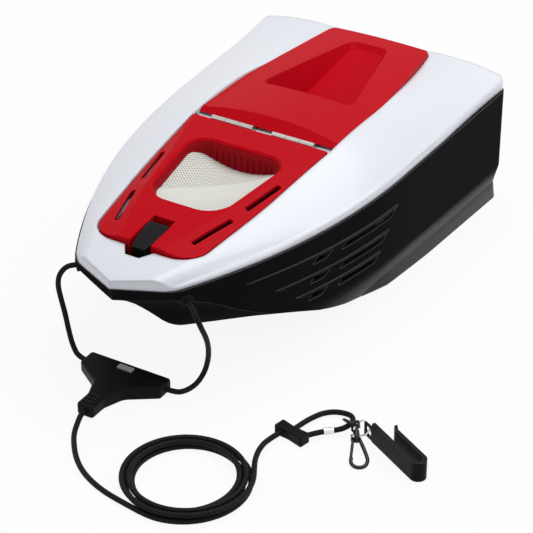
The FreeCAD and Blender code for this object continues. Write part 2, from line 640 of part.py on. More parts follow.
def make_panel():
    solid = prism(panel_outline(0.0), 0.0, span).common(panel_top(0.0))
    hollow = prism(panel_outline(-s.panel_wall), 0.0, span).common(panel_top(s.panel_wall))
    crest = s.panel_height + s.panel_crown
    wedge = side_prism([(s.panel_front - s.cut_overrun, panel_lip), (s.panel_front, panel_lip),
                        (s.panel_front + s.panel_slope_run * 2, panel_lip + (crest - panel_lip) * 2),
                        (s.panel_front - s.cut_overrun, panel_lip + (crest - panel_lip) * 2)])
    solid = solid.cut(wedge)
    wedge.translate(Vector(0, s.panel_wall * FRONT_WALL_SHARE, 0))
    hollow = hollow.cut(wedge)
    skirt = solid.common(half_space(panel_plane(0.0) - s.panel_skirt, panel_angle))
    panel = skirt.cut(hollow)
    panel = panel.fuse(well_solid(s.panel_wall).common(solid)).cut(well_solid(0.0))
    panel = panel.cut(level_box(-span, span, -span, s.bar_rear + s.panel_gap, 0, panel_lip))
    for place in panel_screw_places():
        boss = Part.makeCylinder(s.boss_radius - s.screw_head / 2, span, Vector(place.x, place.y, 0))
        panel = panel.fuse(boss.common(skirt))
    for place in panel_screw_places():
        deep = s.cut_overrun + s.small_screw_long + s.seat_gap
        foot = place - panel_normal * s.cut_overrun
        panel = panel.cut(Part.makeCylinder(s.small_screw_radius + s.screw_clear, deep, foot, panel_normal))
    return panel


panel_normal = Rotation(Vector(1, 0, 0), panel_angle).multVec(Vector(0, 0, 1))


def panel_screw_places():
    """Seats of the panel screws' heads under the deck's ledge."""
    x = s.panel_half - s.ledge_width / 2 - s.seat_gap
    drop = s.panel_skirt + s.deck_wall
    places = (s.bar_rear + s.cut_overrun, s.panel_waist_place - s.ledge_width)
    return [Vector(side * x, y, panel_plane(y) - drop) for side in (-1, 1) for y in places]


def boat_half(y, fore, mid, stern):
    """Half width of a plan outline at a place along the boat."""
    if y > s.mid_place:
        return mid + (stern - mid) * (y - s.mid_place) / (stern_place - s.mid_place)
    heading = (Vector(stern, stern_place, 0) - Vector(mid, s.mid_place, 0)).normalize()
    normal = Vector(-heading.y, heading.x, 0)
    chord = Vector(fore - mid, -s.fore_place - s.mid_place, 0)
    radius = chord.dot(chord) / (2 * chord.dot(normal))
    centre = Vector(mid, s.mid_place, 0) + normal * radius
    return centre.x + math.sqrt(radius * radius - (y - centre.y) ** 2)


DECK_SCREW_PLACE_SHARES = (-0.3, 0.05, 0.4)
sheer_turn = Rotation(Vector(1, 0, 0), sheer_angle)
sheer_normal = sheer_turn.multVec(Vector(0, 0, 1))


def deck_screw_places():
    """Feet of the deck screws on the sheer plane, along both sides."""
    places = []
    for share in DECK_SCREW_PLACE_SHARES:
        y = share * s.boat_length
        x = boat_half(y, s.deck_fore, s.deck_mid, s.deck_stern) - s.screw_inset
        places += [Vector(side * x, y, sheer(y)) for side in (-1, 1)]
    return places


def make_deck():
    outer = prism(deck_outline(0.0), 0.0, span).common(deck_top(0.0)).common(above_sheer)
    inner = prism(deck_outline(s.deck_wall), 0.0, span).common(deck_top(s.deck_wall))
    shell = outer.cut(inner)
    for place in deck_screw_places():
        boss = Part.makeCylinder(s.boss_radius, s.cut_overrun * 2, place, sheer_normal)
        shell = shell.fuse(boss.common(outer))
    lid_floor = lid_plane(0.0) - s.lid_skirt - s.seat_gap
    panel_floor = panel_plane(0.0) - s.panel_skirt
    hatches = ((lid_outline, lid_floor, lid_angle, s.hatch_gap),
               (panel_outline, panel_floor, panel_angle, s.panel_gap))
    for outline, floor, angle, gap in hatches:
        collar = prism(outline(gap + s.deck_wall), 0.0, span).common(outer)
        shell = shell.fuse(collar.common(half_space(floor - s.deck_wall, angle)))
    for outline, floor, angle, gap in hatches:
        shell = shell.cut(prism(outline(gap), 0.0, span).common(half_space(floor, angle)))
        shell = shell.cut(prism(outline(-s.ledge_width), 0.0, span))
    wide = s.panel_half + s.panel_gap
    shell = shell.cut(level_box(-wide, wide, s.lid_rear, s.bar_rear, s.bar_top, span))
    wide += s.deck_wall / 2
    shell = shell.fuse(level_box(-wide, wide, s.lid_rear + s.hatch_gap, s.bar_rear, s.bar_top - s.bar_thick,
                                 s.bar_top))
    tip = -s.notch_front
    root = -s.lid_front + s.ledge_width * 2
    wide = s.notch_rear_half + s.lid_wall
    notch = rounded(mirrored_points([(s.notch_half, tip), (wide, -s.lid_front), (wide, root)]),
                    [s.notch_round, 0, 0, 0, 0, s.notch_round])
    shell = shell.cut(prism(notch, 0.0, span))
    for place in deck_screw_places():
        deep = s.screw_long - s.flange_thick
        shell = shell.cut(Part.makeCylinder(s.screw_radius + s.screw_clear, deep, place, sheer_normal))
    for place in panel_screw_places():
        foot = place - panel_normal * s.cut_overrun
        shell = shell.cut(Part.makeCylinder(s.small_screw_radius + s.screw_clear, s.cut_overrun * 2, foot,
                                            panel_normal))
    for x, y in leaf_screw_places(1):
        foot = s.bar_top - s.small_screw_long + s.leaf_thick
        shell = shell.cut(Part.makeCylinder(s.small_screw_radius + s.screw_clear, s.small_screw_long,
                                            Vector(x, y, foot)))
    return shell


def screw(radius, long, head_radius, head, place, way):
    """Pan head screw: its head's seat is at the place, and its shank runs the given way."""
    shank = Part.makeCylinder(radius, long, place, way)
    cap = Part.makeCylinder(head_radius, head, place, way * -1)
    return shank.fuse(cap)


GROMMET_SHARE = 0.95


def grommet_axis(side):
    """Point of the hull's bow shoulder where a grommet sits, and the outward direction there."""
    shoulder = level_outline(s.grommet_height, 0.0).Edges[1]
    first, last = shoulder.ParameterRange
    turn = first + (last - first) * GROMMET_SHARE
    point = shoulder.valueAt(turn)
    along = shoulder.tangentAt(turn)
    out = Vector(along.y, -along.x, 0)
    found = []
    for height in (s.grommet_height - s.grommet_radius, s.grommet_height + s.grommet_radius):
        foot = Vector(point.x, point.y, height)
        ray = line(foot - out * s.cut_overrun, foot + out * s.cut_overrun).common(hull_sides(0.0))
        found.append(max((v.Point for v in ray.Vertexes), key=lambda v: v.dot(out)))
    low, high = found
    way = Vector(out.x, out.y, -(high - low).dot(out) / (high.z - low.z)).normalize()
    point = (low + high) * 0.5
    return Vector(side * point.x, point.y, point.z), Vector(side * way.x, way.y, way.z)


def make_lever():
    """Latch lever: a flat arm from the finger roll to a nose that points down, with a boss for its pin."""
    top = s.lever_roll_z + s.lever_roll_radius
    half = s.lever_thick / 2
    inner = -s.lever_front + s.nose_thick
    arm = side_prism([(-s.lever_roll_y, top), (-s.lever_front, s.lever_front_z + half),
                      (-s.lever_front, s.nose_foot), (inner, s.nose_foot), (inner, s.lever_front_z - half),
                      (-s.lever_roll_y, top - s.lever_thick)])
    across = Vector(1, 0, 0)
    left = -s.lever_half
    roll = Vector(left, -s.lever_roll_y, s.lever_roll_z)
    pivot = Vector(left, -s.lever_pin_y, s.lever_pin_z)
    arm = arm.fuse(Part.makeCylinder(s.lever_roll_radius, 2 * s.lever_half, roll, across))
    boss = s.lever_pin_radius + s.lever_thick / 3
    arm = arm.fuse(Part.makeCylinder(boss, 2 * s.lever_half, pivot, across))
    arm = arm.fuse(level_box(left, s.lever_half, -s.lever_pin_y - boss, -s.lever_pin_y + boss, s.lever_pin_z,
                             s.lever_pin_z + s.lever_thick + half))
    rear = -s.lever_roll_y + s.lever_roll_radius
    waist = -s.lever_pin_y - boss
    plan = mirrored_points([(s.lever_nose_half, -s.lever_front), (s.lever_half, waist), (s.lever_half, rear)])
    arm = arm.common(prism(rounded(plan, [0.0] * len(plan)), 0.0, span))
    bore = Part.makeCylinder(s.lever_pin_radius + s.pin_clear, 2 * s.lever_half, pivot, across)
    return arm.cut(bore).removeSplitter()


def make_grommet(side, outside, inside):
    """Grommet in the hull's shoulder: flanges that follow the hull's outer and inner face, and a bore."""
    place, way = grommet_axis(side)
    reach = s.hull_wall + s.grommet_lip
    outer = Part.makeCylinder(s.grommet_flange, reach + s.grommet_lip, place - way * reach, way).cut(outside)
    deep = 2 * s.hull_wall + s.grommet_lip
    inner = Part.makeCylinder(s.grommet_flange, deep, place - way * deep, way).common(inside)
    body = Part.makeCylinder(s.grommet_radius, deep + s.grommet_lip, place - way * deep, way)
    bore = Part.makeCylinder(cord_radius + s.cord_clear, 2 * s.cut_overrun, place - way * s.cut_overrun, way)
    return body.fuse([outer, inner]).cut(bore)


cord_radius = s.cord_diameter / 2


def unit(v):
    return Vector(v).normalize()


BEND_SHARE = 0.45


def route_edges(points):
    """Straight runs joined by tangent arcs; each bend takes a share of its shorter run."""
    edges = []
    last = points[0]
    for before, corner, after in zip(points, points[1:], points[2:]):
        first = unit(corner - before)
        second = unit(after - corner)
        trim = BEND_SHARE * min((corner - before).Length, (after - corner).Length)
        turn = first.getAngle(second)
        radius = trim / math.tan(turn / 2)
        middle = corner + unit(second - first) * (radius / math.cos(turn / 2) - radius)
        edges.append(line(last, corner - first * trim))
        edges.append(arc(corner - first * trim, middle, corner + second * trim))
        last = corner + second * trim
    edges.append(line(last, points[-1]))
    return edges


def tube(edges):
    wire = Part.Wire(edges)
    start = edges[0].Vertexes[0].Point
    way = edges[0].tangentAt(edges[0].FirstParameter)
    ring = Part.Wire([Part.Circle(start, way, cord_radius).toShape()])
    return wire.makePipeShell([ring], True, False)


def biarc(start, start_way, end, end_way):
    """Two arcs from one point and heading to another."""
    v = end - start
    t = start_way + end_way
    k = 2 * (1 - start_way.dot(end_way))
    d = (-v.dot(t) + math.sqrt(v.dot(t) ** 2 + k * v.dot(v))) / k
    joint = (start + end + (start_way - end_way) * d) * 0.5

    def half(a, way, b):
        chord = b - a
        along = unit(chord)
        off = way - along * way.dot(along)
        angle = way.getAngle(chord)
        return arc(a, (a + b) * 0.5 + unit(off) * (chord.Length / 2 * math.tan(angle / 2)), b)
    second = half(end, end_way * -1, joint)
    first = half(start, start_way, joint)
    return [first, arc(joint, second.valueAt((second.FirstParameter + second.LastParameter) / 2), end)]


COIL_START_TURN_SHARE = -98 / 360
COIL_TURN_SHARES = (1.93, 0.5, 1.93)


def coil_point(turn):
    """Point of the coil: spiral in on the floor, climb half a turn, spiral out on top."""
    down, climb, up = COIL_TURN_SHARES
    inward = min(turn, down) - max(turn - down - climb, 0.0)
    rise = min(max((turn - down) / climb, 0.0), 1.0)
    radius = s.coil_radius - s.coil_pitch * inward
    angle = 2 * math.pi * (turn + COIL_START_TURN_SHARE)
    return Vector(s.coil_x + radius * math.cos(angle), s.coil_y + radius * math.sin(angle),
                  cord_radius + s.coil_climb * rise * rise * (3 - 2 * rise))


TURN_STEP_SHARE = 0.0001


def coil_edges():
    total = sum(COIL_TURN_SHARES)
    count = 24
    turns = [total * i / count for i in range(count + 1)]
    small = TURN_STEP_SHARE
    ways = []
    for i, turn in enumerate(turns):
        ways.append(unit(coil_point(turn + small) - coil_point(turn - small)) if 0 < i < count else None)
    ways[0] = unit(coil_point(small) - coil_point(0.0))
    ways[-1] = unit(coil_point(total) - coil_point(total - small))
    for way in (ways[0], ways[-1]):
        way.z = 0
    edges = []
    for i in range(count):
        edges += biarc(coil_point(turns[i]), unit(ways[i]), coil_point(turns[i + 1]), unit(ways[i + 1]))
    return edges, unit(ways[0]), unit(ways[-1])


def lengths(points):
    """Points of a route given as shares of the cord's diameter."""
    return [Vector(*point) * s.cord_diameter for point in points]


# Routes of the cords, as shares of the cord's diameter
RIGHT_ROUTE_SHARES = ((13.5, -44.1, 19.15), (14.75, -44.6, 17.4), (15.25, -43.9, 15.1), (15.05, -42.2, 12.2),
                      (14.35, -40.5, 9.0), (13.5, -39.3, 5.65), (12.85, -39.6, 2.7), (12.3, -41.6, 1.0),
                      (11.5, -44.2, 0.75), (10.3, -45.8, 1.1))
LEFT_ROUTE_SHARES = ((-13.5, -44.1, 19.15), (-14.7, -44.8, 17.4), (-15.05, -44.9, 15.1),
                     (-14.75, -44.6, 12.2), (-14.1, -44.4, 8.9), (-13.25, -44.7, 5.4), (-12.0, -45.3, 2.85),
                     (-10.4, -45.9, 1.55))
LEAD_ROUTE_SHARES = ((0.33, -61.5, 0.78), (1.52, -64.5, 0.5), (3.48, -67.3, 0.5), (5.98, -70.2, 0.5),
                     (9.02, -72.7, 0.5), (12.5, -74.5, 0.5), (16.2, -75.7, 0.5))
TAIL_ROUTE_SHARES = ((33.0, -55.2, 1.25), (32.1, -52.5, 1.05), (31.87, -49.6, 1.05))
LOOP_ROUTE_SHARES = ((34.75, -41.55, 1.0), (35.15, -39.2, 0.7), (35.9, -37.05, 0.57), (37.5, -35.55, 0.57),
                     (39.55, -35.25, 0.78), (41.25, -35.9, 1.17), (42.3, -37.35, 1.37), (42.2, -39.13, 1.37),
                     (41.25, -40.65, 1.17), (38.35, -42.9, 1.05))


def on_stopper(x, y):
    turn = Rotation(Vector(0, 0, 1), s.stopper_turn)
    return Vector(s.stopper_x, s.stopper_y, s.stopper_high / 2) + turn.multVec(Vector(x, y, 0))


def side_way(angle):
    return Vector(math.cos(math.radians(angle)), math.sin(math.radians(angle)), 0)


def axes_place(origin, x_way, z_way):
    """Placement whose X runs along a direction and whose Z lies as near as it can to another."""
    z = unit(z_way - x_way * z_way.dot(x_way))
    return Placement(origin, Rotation(x_way, z.cross(x_way), z, "XYZ"))


def torus(radius, wire, centre, normal):
    return Part.makeTorus(radius, wire, centre, normal)


# Hull, deck, panel, lid and what the lid carries
hull = make_hull()
outside = hull_body(0.0, 0.0)
inside = hull_body(s.hull_wall, s.hull_wall)
for side in (-1, 1):
    place, way = grommet_axis(side)
    foot = place - way * s.cut_overrun
    hull = hull.cut(Part.makeCylinder(s.grommet_radius + s.screw_clear, s.cut_overrun * 2, foot, way))
for place in deck_screw_places():
    foot = place - sheer_normal * s.cut_overrun / 2
    hull = hull.cut(Part.makeCylinder(s.screw_radius + s.screw_clear, s.cut_overrun, foot, sheer_normal))
for side in (-1, 1):
    y = s.ballast_place + side * s.ballast_screw_pitch / 2
    low = s.hull_wall + s.ballast_thick - s.ballast_screw_long - s.screw_clear * 2
    hull = hull.cut(Part.makeCylinder(s.screw_radius + s.screw_clear, s.cut_overrun, Vector(0, y, low)))
node(feature("hull", hull), "hull_shell")
node(feature("deck", make_deck()), "deck_shell")
node(feature("panel", make_panel()), "rear_panel")
node(feature("lid", make_lid()), "front_lid")
chute = make_chute()
node(feature("chute", chute), "chute_collar")
node(feature("flap_front", make_flap(True).cut(chute)), "net_front_flap")
node(feature("flap_rear", make_flap(False).cut(chute)), "net_rear_flap")

# Foam floats against the hull's sides, and the ballast on its floor
for name, low, high in (("float_left", -span, -s.float_inner), ("float_right", s.float_inner, span)):
    block = level_box(low, high, s.float_front, s.float_rear, s.float_foot, s.float_top)
    node(feature(name, hull_sides(s.hull_wall).common(block)), name)
ballast = doc.addObject("PartDesign::Body", "ballast")
outline = ballast.newObject("Sketcher::SketchObject", "ballast_outline")
outline.AttachmentSupport = [(next(f for f in ballast.Origin.OriginFeatures if f.Role == "XY_Plane"), "")]
outline.MapMode = "FlatFace"
corners = [Vector(-1, -1, 0), Vector(1, -1, 0), Vector(1, 1, 0), Vector(-1, 1, 0)]
for i in range(4):
    outline.addGeometry(Part.LineSegment(corners[i], corners[(i + 1) % 4]))
for i in range(4):
    outline.addConstraint(Sketcher.Constraint("Coincident", i, 2, (i + 1) % 4, 1))
    outline.addConstraint(Sketcher.Constraint("Horizontal" if i % 2 == 0 else "Vertical", i))
outline.addConstraint(Sketcher.Constraint("Symmetric", 0, 1, 1, 2, -1, 1))
wide = outline.addConstraint(Sketcher.Constraint("DistanceX", 0, 1, 0, 2, s.ballast_wide))
long = outline.addConstraint(Sketcher.Constraint("DistanceY", 1, 1, 1, 2, s.ballast_long))
outline.setExpression(f"Constraints[{wide}]", bound("ballast_wide"))
outline.setExpression(f"Constraints[{long}]", bound("ballast_long"))
plate = ballast.newObject("PartDesign::Pad", "ballast_pad")
plate.Profile = outline
bind(plate, Length="ballast_thick")
doc.recompute()
upright = [f"Edge{i}" for i, edge in enumerate(plate.Shape.Edges, start=1)
           if abs(edge.tangentAt(edge.FirstParameter).z) > ON_AXIS_SHARE]
corner = ballast.newObject("PartDesign::Fillet", "ballast_corners")
corner.Base = (plate, upright)
bind(corner, Radius="ballast_round")
bores = ballast.newObject("Sketcher::SketchObject", "ballast_bores")
bores.AttachmentSupport = outline.AttachmentSupport
bores.MapMode = "FlatFace"
for i, side in enumerate((-1, 1)):
    hub = Vector(0, side * s.ballast_screw_pitch / 2, 0)
    bores.addGeometry(Part.Circle(hub, Vector(0, 0, 1), s.screw_radius))
    bores.addConstraint(Sketcher.Constraint("PointOnObject", i, 3, -2))
    size = bores.addConstraint(Sketcher.Constraint("Radius", i, s.screw_radius))
    bores.setExpression(f"Constraints[{size}]", bound("screw_radius + screw_clear"))
    ends = (-1, 1, i, 3) if side > 0 else (i, 3, -1, 1)
    reach = bores.addConstraint(Sketcher.Constraint("DistanceY", *ends, s.ballast_screw_pitch / 2))
    bores.setExpression(f"Constraints[{reach}]", bound("ballast_screw_pitch / 2"))
drill = ballast.newObject("PartDesign::Pocket", "ballast_drill")
drill.Profile = bores
drill.Type = "ThroughAll"
drill.Reversed = True
ballast.Tip = drill
at(ballast, "0", "ballast_place", "hull_wall")
node(ballast, "ballast_plate")


def bound_screw(name, radius, long, head_radius, head, x, y, seat, up=False):
    """Upright screw whose head sits at the seat height, with its shank below it, or above it if up."""
    shank = rod(name + "_shank", radius, long, x, y, seat if up else f"{seat} - ({long})")
    cap = rod(name + "_head", head_radius, head, x, y, f"{seat} - ({head})" if up else seat)
    return node(fuse(name, shank, cap), name)


for name, side in (("front", "-"), ("rear", "+")):
    bound_screw(f"ballast_screw_{name}", "screw_radius", "ballast_screw_long", "screw_head_radius",
                "screw_head", "0", f"ballast_place {side} ballast_screw_pitch / 2", "hull_wall + ballast_thick")
for i, place in enumerate(deck_screw_places()):
    name = f"deck_screw_{'left' if i % 2 == 0 else 'right'}_{i // 2 + 1}"
    shape = screw(s.screw_radius, s.screw_long, s.screw_head_radius, s.screw_head,
                  place - sheer_normal * s.flange_thick, sheer_normal)
    node(feature(name, shape), name)
for i, place in enumerate(panel_screw_places()):
    name = f"panel_screw_{'left' if place.x < 0 else 'right'}_{i % 2 + 1}"
    shape = screw(s.small_screw_radius, s.small_screw_long, s.small_head_radius, s.small_head, place,
                  panel_normal)
    node(feature(name, shape), name)

# Butt hinges: leaves with three knuckles, pins and screws
for name, sign in (("left", "-"), ("right", "+")):
    start = f"{sign}hinge_offset - hinge_width / 2"
    third = "hinge_width / 3"
    long = "2 * leaf_reach - lid_rear - knuckle_radius - 2 * seat_gap"
    plate = box(f"lid_plate_{name}", "hinge_width", long, "leaf_thick", start,
                "hinge_y - 2 * leaf_reach + lid_rear", "bar_top + seat_gap")
    inner = f"{start} + {third} + knuckle_gap / 2"
    neck = box(f"lid_neck_{name}", f"{third} - knuckle_gap", "2 * knuckle_radius", "leaf_thick", inner,
               "hinge_y - 2 * knuckle_radius", "bar_top + seat_gap")
    curl = rod(f"lid_curl_{name}", "knuckle_radius", f"{third} - knuckle_gap", inner, "hinge_y", "hinge_z",
               ALONG_X)
    bore = rod(f"lid_bore_{name}", "pin_radius + pin_clear", "hinge_width", start, "hinge_y", "hinge_z",
               ALONG_X)
    screws = [(1, f"{sign}hinge_offset - leaf_screw_pitch / 2"),
              (2, f"{sign}hinge_offset + leaf_screw_pitch / 2")]
    lid_row = "hinge_y - leaf_reach + small_head_radius"
    deck_row = "hinge_y + leaf_reach - small_head_radius"
    drills = [rod(f"lid_drill_{name}_{turn}", "small_screw_radius + screw_clear", "4 * leaf_thick", x,
                  lid_row, "bar_top - leaf_thick") for turn, x in screws]
    body = fuse(f"lid_leaf_body_{name}", plate, neck, curl)
    node(cut(f"lid_leaf_{name}", body, fuse(f"lid_leaf_bores_{name}", bore, *drills)), f"lid_leaf_{name}")
    plate = box(f"deck_plate_{name}", "hinge_width", "leaf_reach - knuckle_radius - 2 * seat_gap",
                "leaf_thick", start, "hinge_y + knuckle_radius + 2 * seat_gap", "bar_top")
    curls = []
    for place, words in ((1, start), (2, f"{start} + 2 * {third} + knuckle_gap / 2")):
        wide = f"{third} - knuckle_gap / 2"
        curls.append(rod(f"deck_curl_{name}_{place}", "knuckle_radius", wide, words, "hinge_y", "hinge_z",
                         ALONG_X))
        curls.append(box(f"deck_neck_{name}_{place}", wide, "2 * knuckle_radius", "leaf_thick", words,
                         "hinge_y", "bar_top"))
    bore = rod(f"deck_bore_{name}", "pin_radius", "hinge_width", start, "hinge_y", "hinge_z", ALONG_X)
    drills = [rod(f"deck_drill_{name}_{turn}", "small_screw_radius + screw_clear", "4 * leaf_thick", x,
                  deck_row, "bar_top - leaf_thick") for turn, x in screws]
    body = fuse(f"deck_leaf_body_{name}", plate, *curls)
    node(cut(f"deck_leaf_{name}", body, fuse(f"deck_leaf_bores_{name}", bore, *drills)), f"deck_leaf_{name}")
    pin = rod(f"hinge_pin_{name}", "pin_radius", "hinge_width", start, "hinge_y", "hinge_z", ALONG_X)
    node(pin, f"hinge_pin_{name}")
    for turn, x in screws:
        bound_screw(f"lid_leaf_screw_{name}_{turn}", "small_screw_radius",
                    "small_screw_long / 2 + leaf_thick", "small_head_radius", "small_head", x, lid_row,
                    "bar_top + seat_gap", up=True)
        bound_screw(f"deck_leaf_screw_{name}_{turn}", "small_screw_radius", "small_screw_long",
                    "small_head_radius", "small_head", x, deck_row, "bar_top + leaf_thick")

# Latch
node(feature("lever", make_lever()), "latch_lever")
node(rod("latch_rod", "lever_pin_radius", "2 * channel_half + 2 * lid_wall", "-channel_half - lid_wall",
         "-lever_pin_y", "lever_pin_z", ALONG_X), "latch_pin")

# Yoke of the bridle, with its bright insert
YOKE_FILLET_SHARE = 0.9
right = [(s.yoke_stem_half, s.yoke_y - s.yoke_long), (s.yoke_stem_half, s.yoke_y - s.yoke_long + s.yoke_bar),
         (s.yoke_waist, s.yoke_y - s.yoke_bar * 2), (s.yoke_half, s.yoke_y - s.yoke_bar),
         (s.yoke_half, s.yoke_y)]
turn = s.yoke_round
radii = [turn, turn * 4, turn * 4, turn, turn]
yoke = prism(rounded(mirrored_points(right), radii + radii[::-1]), s.yoke_lift, s.yoke_lift + s.yoke_thick)
rims = [edge for edge in yoke.Edges if edge.BoundBox.ZLength < s.yoke_lift]
yoke = yoke.makeFillet(turn * YOKE_FILLET_SHARE, rims)
for i in range(3):
    y = s.yoke_y - s.yoke_long + s.yoke_rib_pitch * (i + 1)
    yoke = yoke.fuse(level_box(-s.yoke_stem_half + turn, s.yoke_stem_half - turn, y, y + s.yoke_rib_wide,
                               s.yoke_thick / 2, s.yoke_lift + s.yoke_thick + s.yoke_rib_high))
top = s.yoke_lift + s.yoke_thick
bar_middle = s.yoke_y - s.yoke_bar / 2
seat = (-s.insert_long / 2, s.insert_long / 2, bar_middle - s.insert_wide / 2, bar_middle + s.insert_wide / 2)
yoke = yoke.cut(level_box(*seat, top - s.insert_thick / 2, top + s.insert_thick))
insert = box("insert", "insert_long", "insert_wide", "insert_thick", "-insert_long / 2",
             "yoke_y - yoke_bar / 2 - insert_wide / 2", "yoke_lift + yoke_thick - insert_thick / 2")
node(insert, "yoke_insert")

# Bridle, from the stop knots inside the hull through the grommets to the yoke's arms
middle = s.yoke_lift + s.yoke_thick / 2
for name, side, route in (("left", -1, LEFT_ROUTE_SHARES), ("right", 1, RIGHT_ROUTE_SHARES)):
    place, way = grommet_axis(side)
    centre = place - way * (2 * s.hull_wall + s.grommet_lip + s.knot_radius)
    node(feature(f"grommet_{name}", make_grommet(side, outside, inside)), f"bow_grommet_{name}")
    knot = Part.makeSphere(s.knot_radius, centre)
    knot = knot.cut(Part.makeCylinder(cord_radius, s.cut_overrun, centre, way))
    node(feature(f"knot_{name}", knot), f"bridle_knot_{name}")
    arm = Vector(side * (s.yoke_half - s.cord_seat), bar_middle, middle)
    points = [centre, place + way * s.grommet_lip * 2] + lengths(route) + [arm]
    strand = tube(route_edges(points))
    node(feature(f"bridle_{name}", strand), f"bridle_{name}")
    yoke = yoke.cut(strand)

# Tow line: lead from the yoke, coil and tail to the stopper, in one length
TAIL_RUN_SHARE = 0.7
STOPPER_TOW_SHARE = -0.26
STOPPER_LOOP_SHARES = (-0.09, 0.32)
loops, way_in, way_out = coil_edges()
yoke_end = Vector(s.yoke_x, s.yoke_y - s.yoke_long, middle)
seat = Vector(0, s.cord_seat, 0)
coil_in = coil_point(0.0)
coil_out = coil_point(sum(COIL_TURN_SHARES))
run = s.cord_diameter * 4
lead = [yoke_end + seat, yoke_end - seat] + lengths(LEAD_ROUTE_SHARES) + [coil_in - way_in * run, coil_in]
tail = [coil_out, coil_out + way_out * run * TAIL_RUN_SHARE] + lengths(TAIL_ROUTE_SHARES)
tail.append(on_stopper(STOPPER_TOW_SHARE * s.stopper_long, -s.stopper_waist / 4))
tow = tube(route_edges(lead) + loops + route_edges(tail))
node(feature("tow", tow), "tow_line")
yoke = yoke.cut(tow)
node(feature("yoke", yoke), "bridle_yoke")

# Loop through the link ring, its ferrule and the stopper
start, end = [on_stopper(share * s.stopper_long, s.stopper_waist / 4) for share in STOPPER_LOOP_SHARES]
loop_points = [start] + lengths(LOOP_ROUTE_SHARES) + [end]
loop = tube(route_edges(loop_points))
node(feature("loop", loop), "loop_cord")
half = s.stopper_long / 2
wide = s.stopper_wide / 2
waist = s.stopper_waist / 2
points = [(-half, -wide), (0, -waist), (half, -wide), (half, wide), (0, waist), (-half, wide)]
radii = [s.stopper_round, s.stopper_long, s.stopper_round]
block = prism(rounded(points, radii * 2), s.yoke_lift, s.stopper_high)
rims = [edge for edge in block.Edges if edge.BoundBox.ZLength < s.yoke_lift]
block = block.makeFillet(s.stopper_round / 2, rims)
block.Placement = Placement(Vector(s.stopper_x, s.stopper_y, 0), Rotation(Vector(0, 0, 1), s.stopper_turn))
node(feature("stopper", block.cut(tow).cut(loop)), "cord_stopper")
a, b = loop_points[-3:-1]
centre = a + (b - a) * 0.5 - unit(b - a) * s.ferrule_long / 2
sleeve = Part.makeCylinder(cord_radius + s.ferrule_wall, s.ferrule_long, centre, unit(b - a))
sleeve = sleeve.cut(Part.makeCylinder(cord_radius, s.ferrule_long, centre, unit(b - a)))
node(feature("ferrule", sleeve), "loop_ferrule")

# Link ring, tilted; split ring and snap eye hang on it
link = Vector(s.link_x, s.link_y, s.link_z)
link_x = side_way(s.link_turn)
link_y = Rotation(link_x, -s.link_tilt).multVec(side_way(s.link_turn + 90))


def on_link(angle):
    """Point of the link ring's wire and the wire's direction there."""
    turn = math.radians(angle)
    return (link + (link_x * math.cos(turn) + link_y * math.sin(turn)) * s.link_radius,
            link_y * math.cos(turn) - link_x * math.sin(turn))


node(feature("link", torus(s.link_radius, s.link_wire, link, link_x.cross(link_y))), "link_ring")
point, way = on_link(0.0)
split = point + link_x * (s.split_radius - s.split_wire - s.link_wire - s.ring_gap)
node(feature("split", torus(s.split_radius, s.split_wire, split, way)), "split_ring")

# Belt clip: a hairpin of flat stock with an eyed tab
hang = split + link_x * s.split_radius
outer = s.clip_gap / 2 + s.clip_thick
inner = s.clip_gap / 2
far = s.clip_gap + 2 * s.clip_thick
tip = s.clip_long - s.clip_far_long
barb = s.clip_barb
profile = [line((0, 0, 0), (s.clip_long, 0, 0)),
           arc((s.clip_long, 0, 0), (s.clip_long + outer, outer, 0), (s.clip_long, far, 0)),
           line((s.clip_long, far, 0), (tip + 2 * barb, far, 0)),
           line((tip + 2 * barb, far, 0), (tip, far + barb, 0)),
           line((tip, far + barb, 0), (tip, far + barb - s.clip_thick, 0)),
           line((tip, far + barb - s.clip_thick, 0), (tip + 2 * barb, far - s.clip_thick, 0)),
           line((tip + 2 * barb, far - s.clip_thick, 0), (s.clip_long, far - s.clip_thick, 0)),
           arc((s.clip_long, far - s.clip_thick, 0), (s.clip_long + inner, outer, 0),
               (s.clip_long, s.clip_thick, 0)),
           line((s.clip_long, s.clip_thick, 0), (0, s.clip_thick, 0)),
           line((0, s.clip_thick, 0), (0, 0, 0))]
clip = prism(Part.Wire(profile), s.clip_lift, s.clip_high)
side = (s.clip_thick - s.clip_tab_thick) / 2
clip = clip.fuse(level_box(-s.clip_tab_long, 0, side, side + s.clip_tab_thick, s.clip_lift, s.clip_tab_high))
clip = clip.cut(Part.makeCylinder(s.clip_eye_radius, s.clip_thick, Vector(-s.clip_eye_inset, 0, hang.z),
                                  Vector(0, 1, 0)))
turn = Rotation(Vector(0, 0, 1), s.clip_turn)
foot = Vector(hang.x, hang.y, 0) - turn.multVec(Vector(-s.clip_eye_inset, s.clip_thick / 2, 0))
node(feature("clip", clip.removeSplitter()), "belt_clip", Placement(foot, turn))

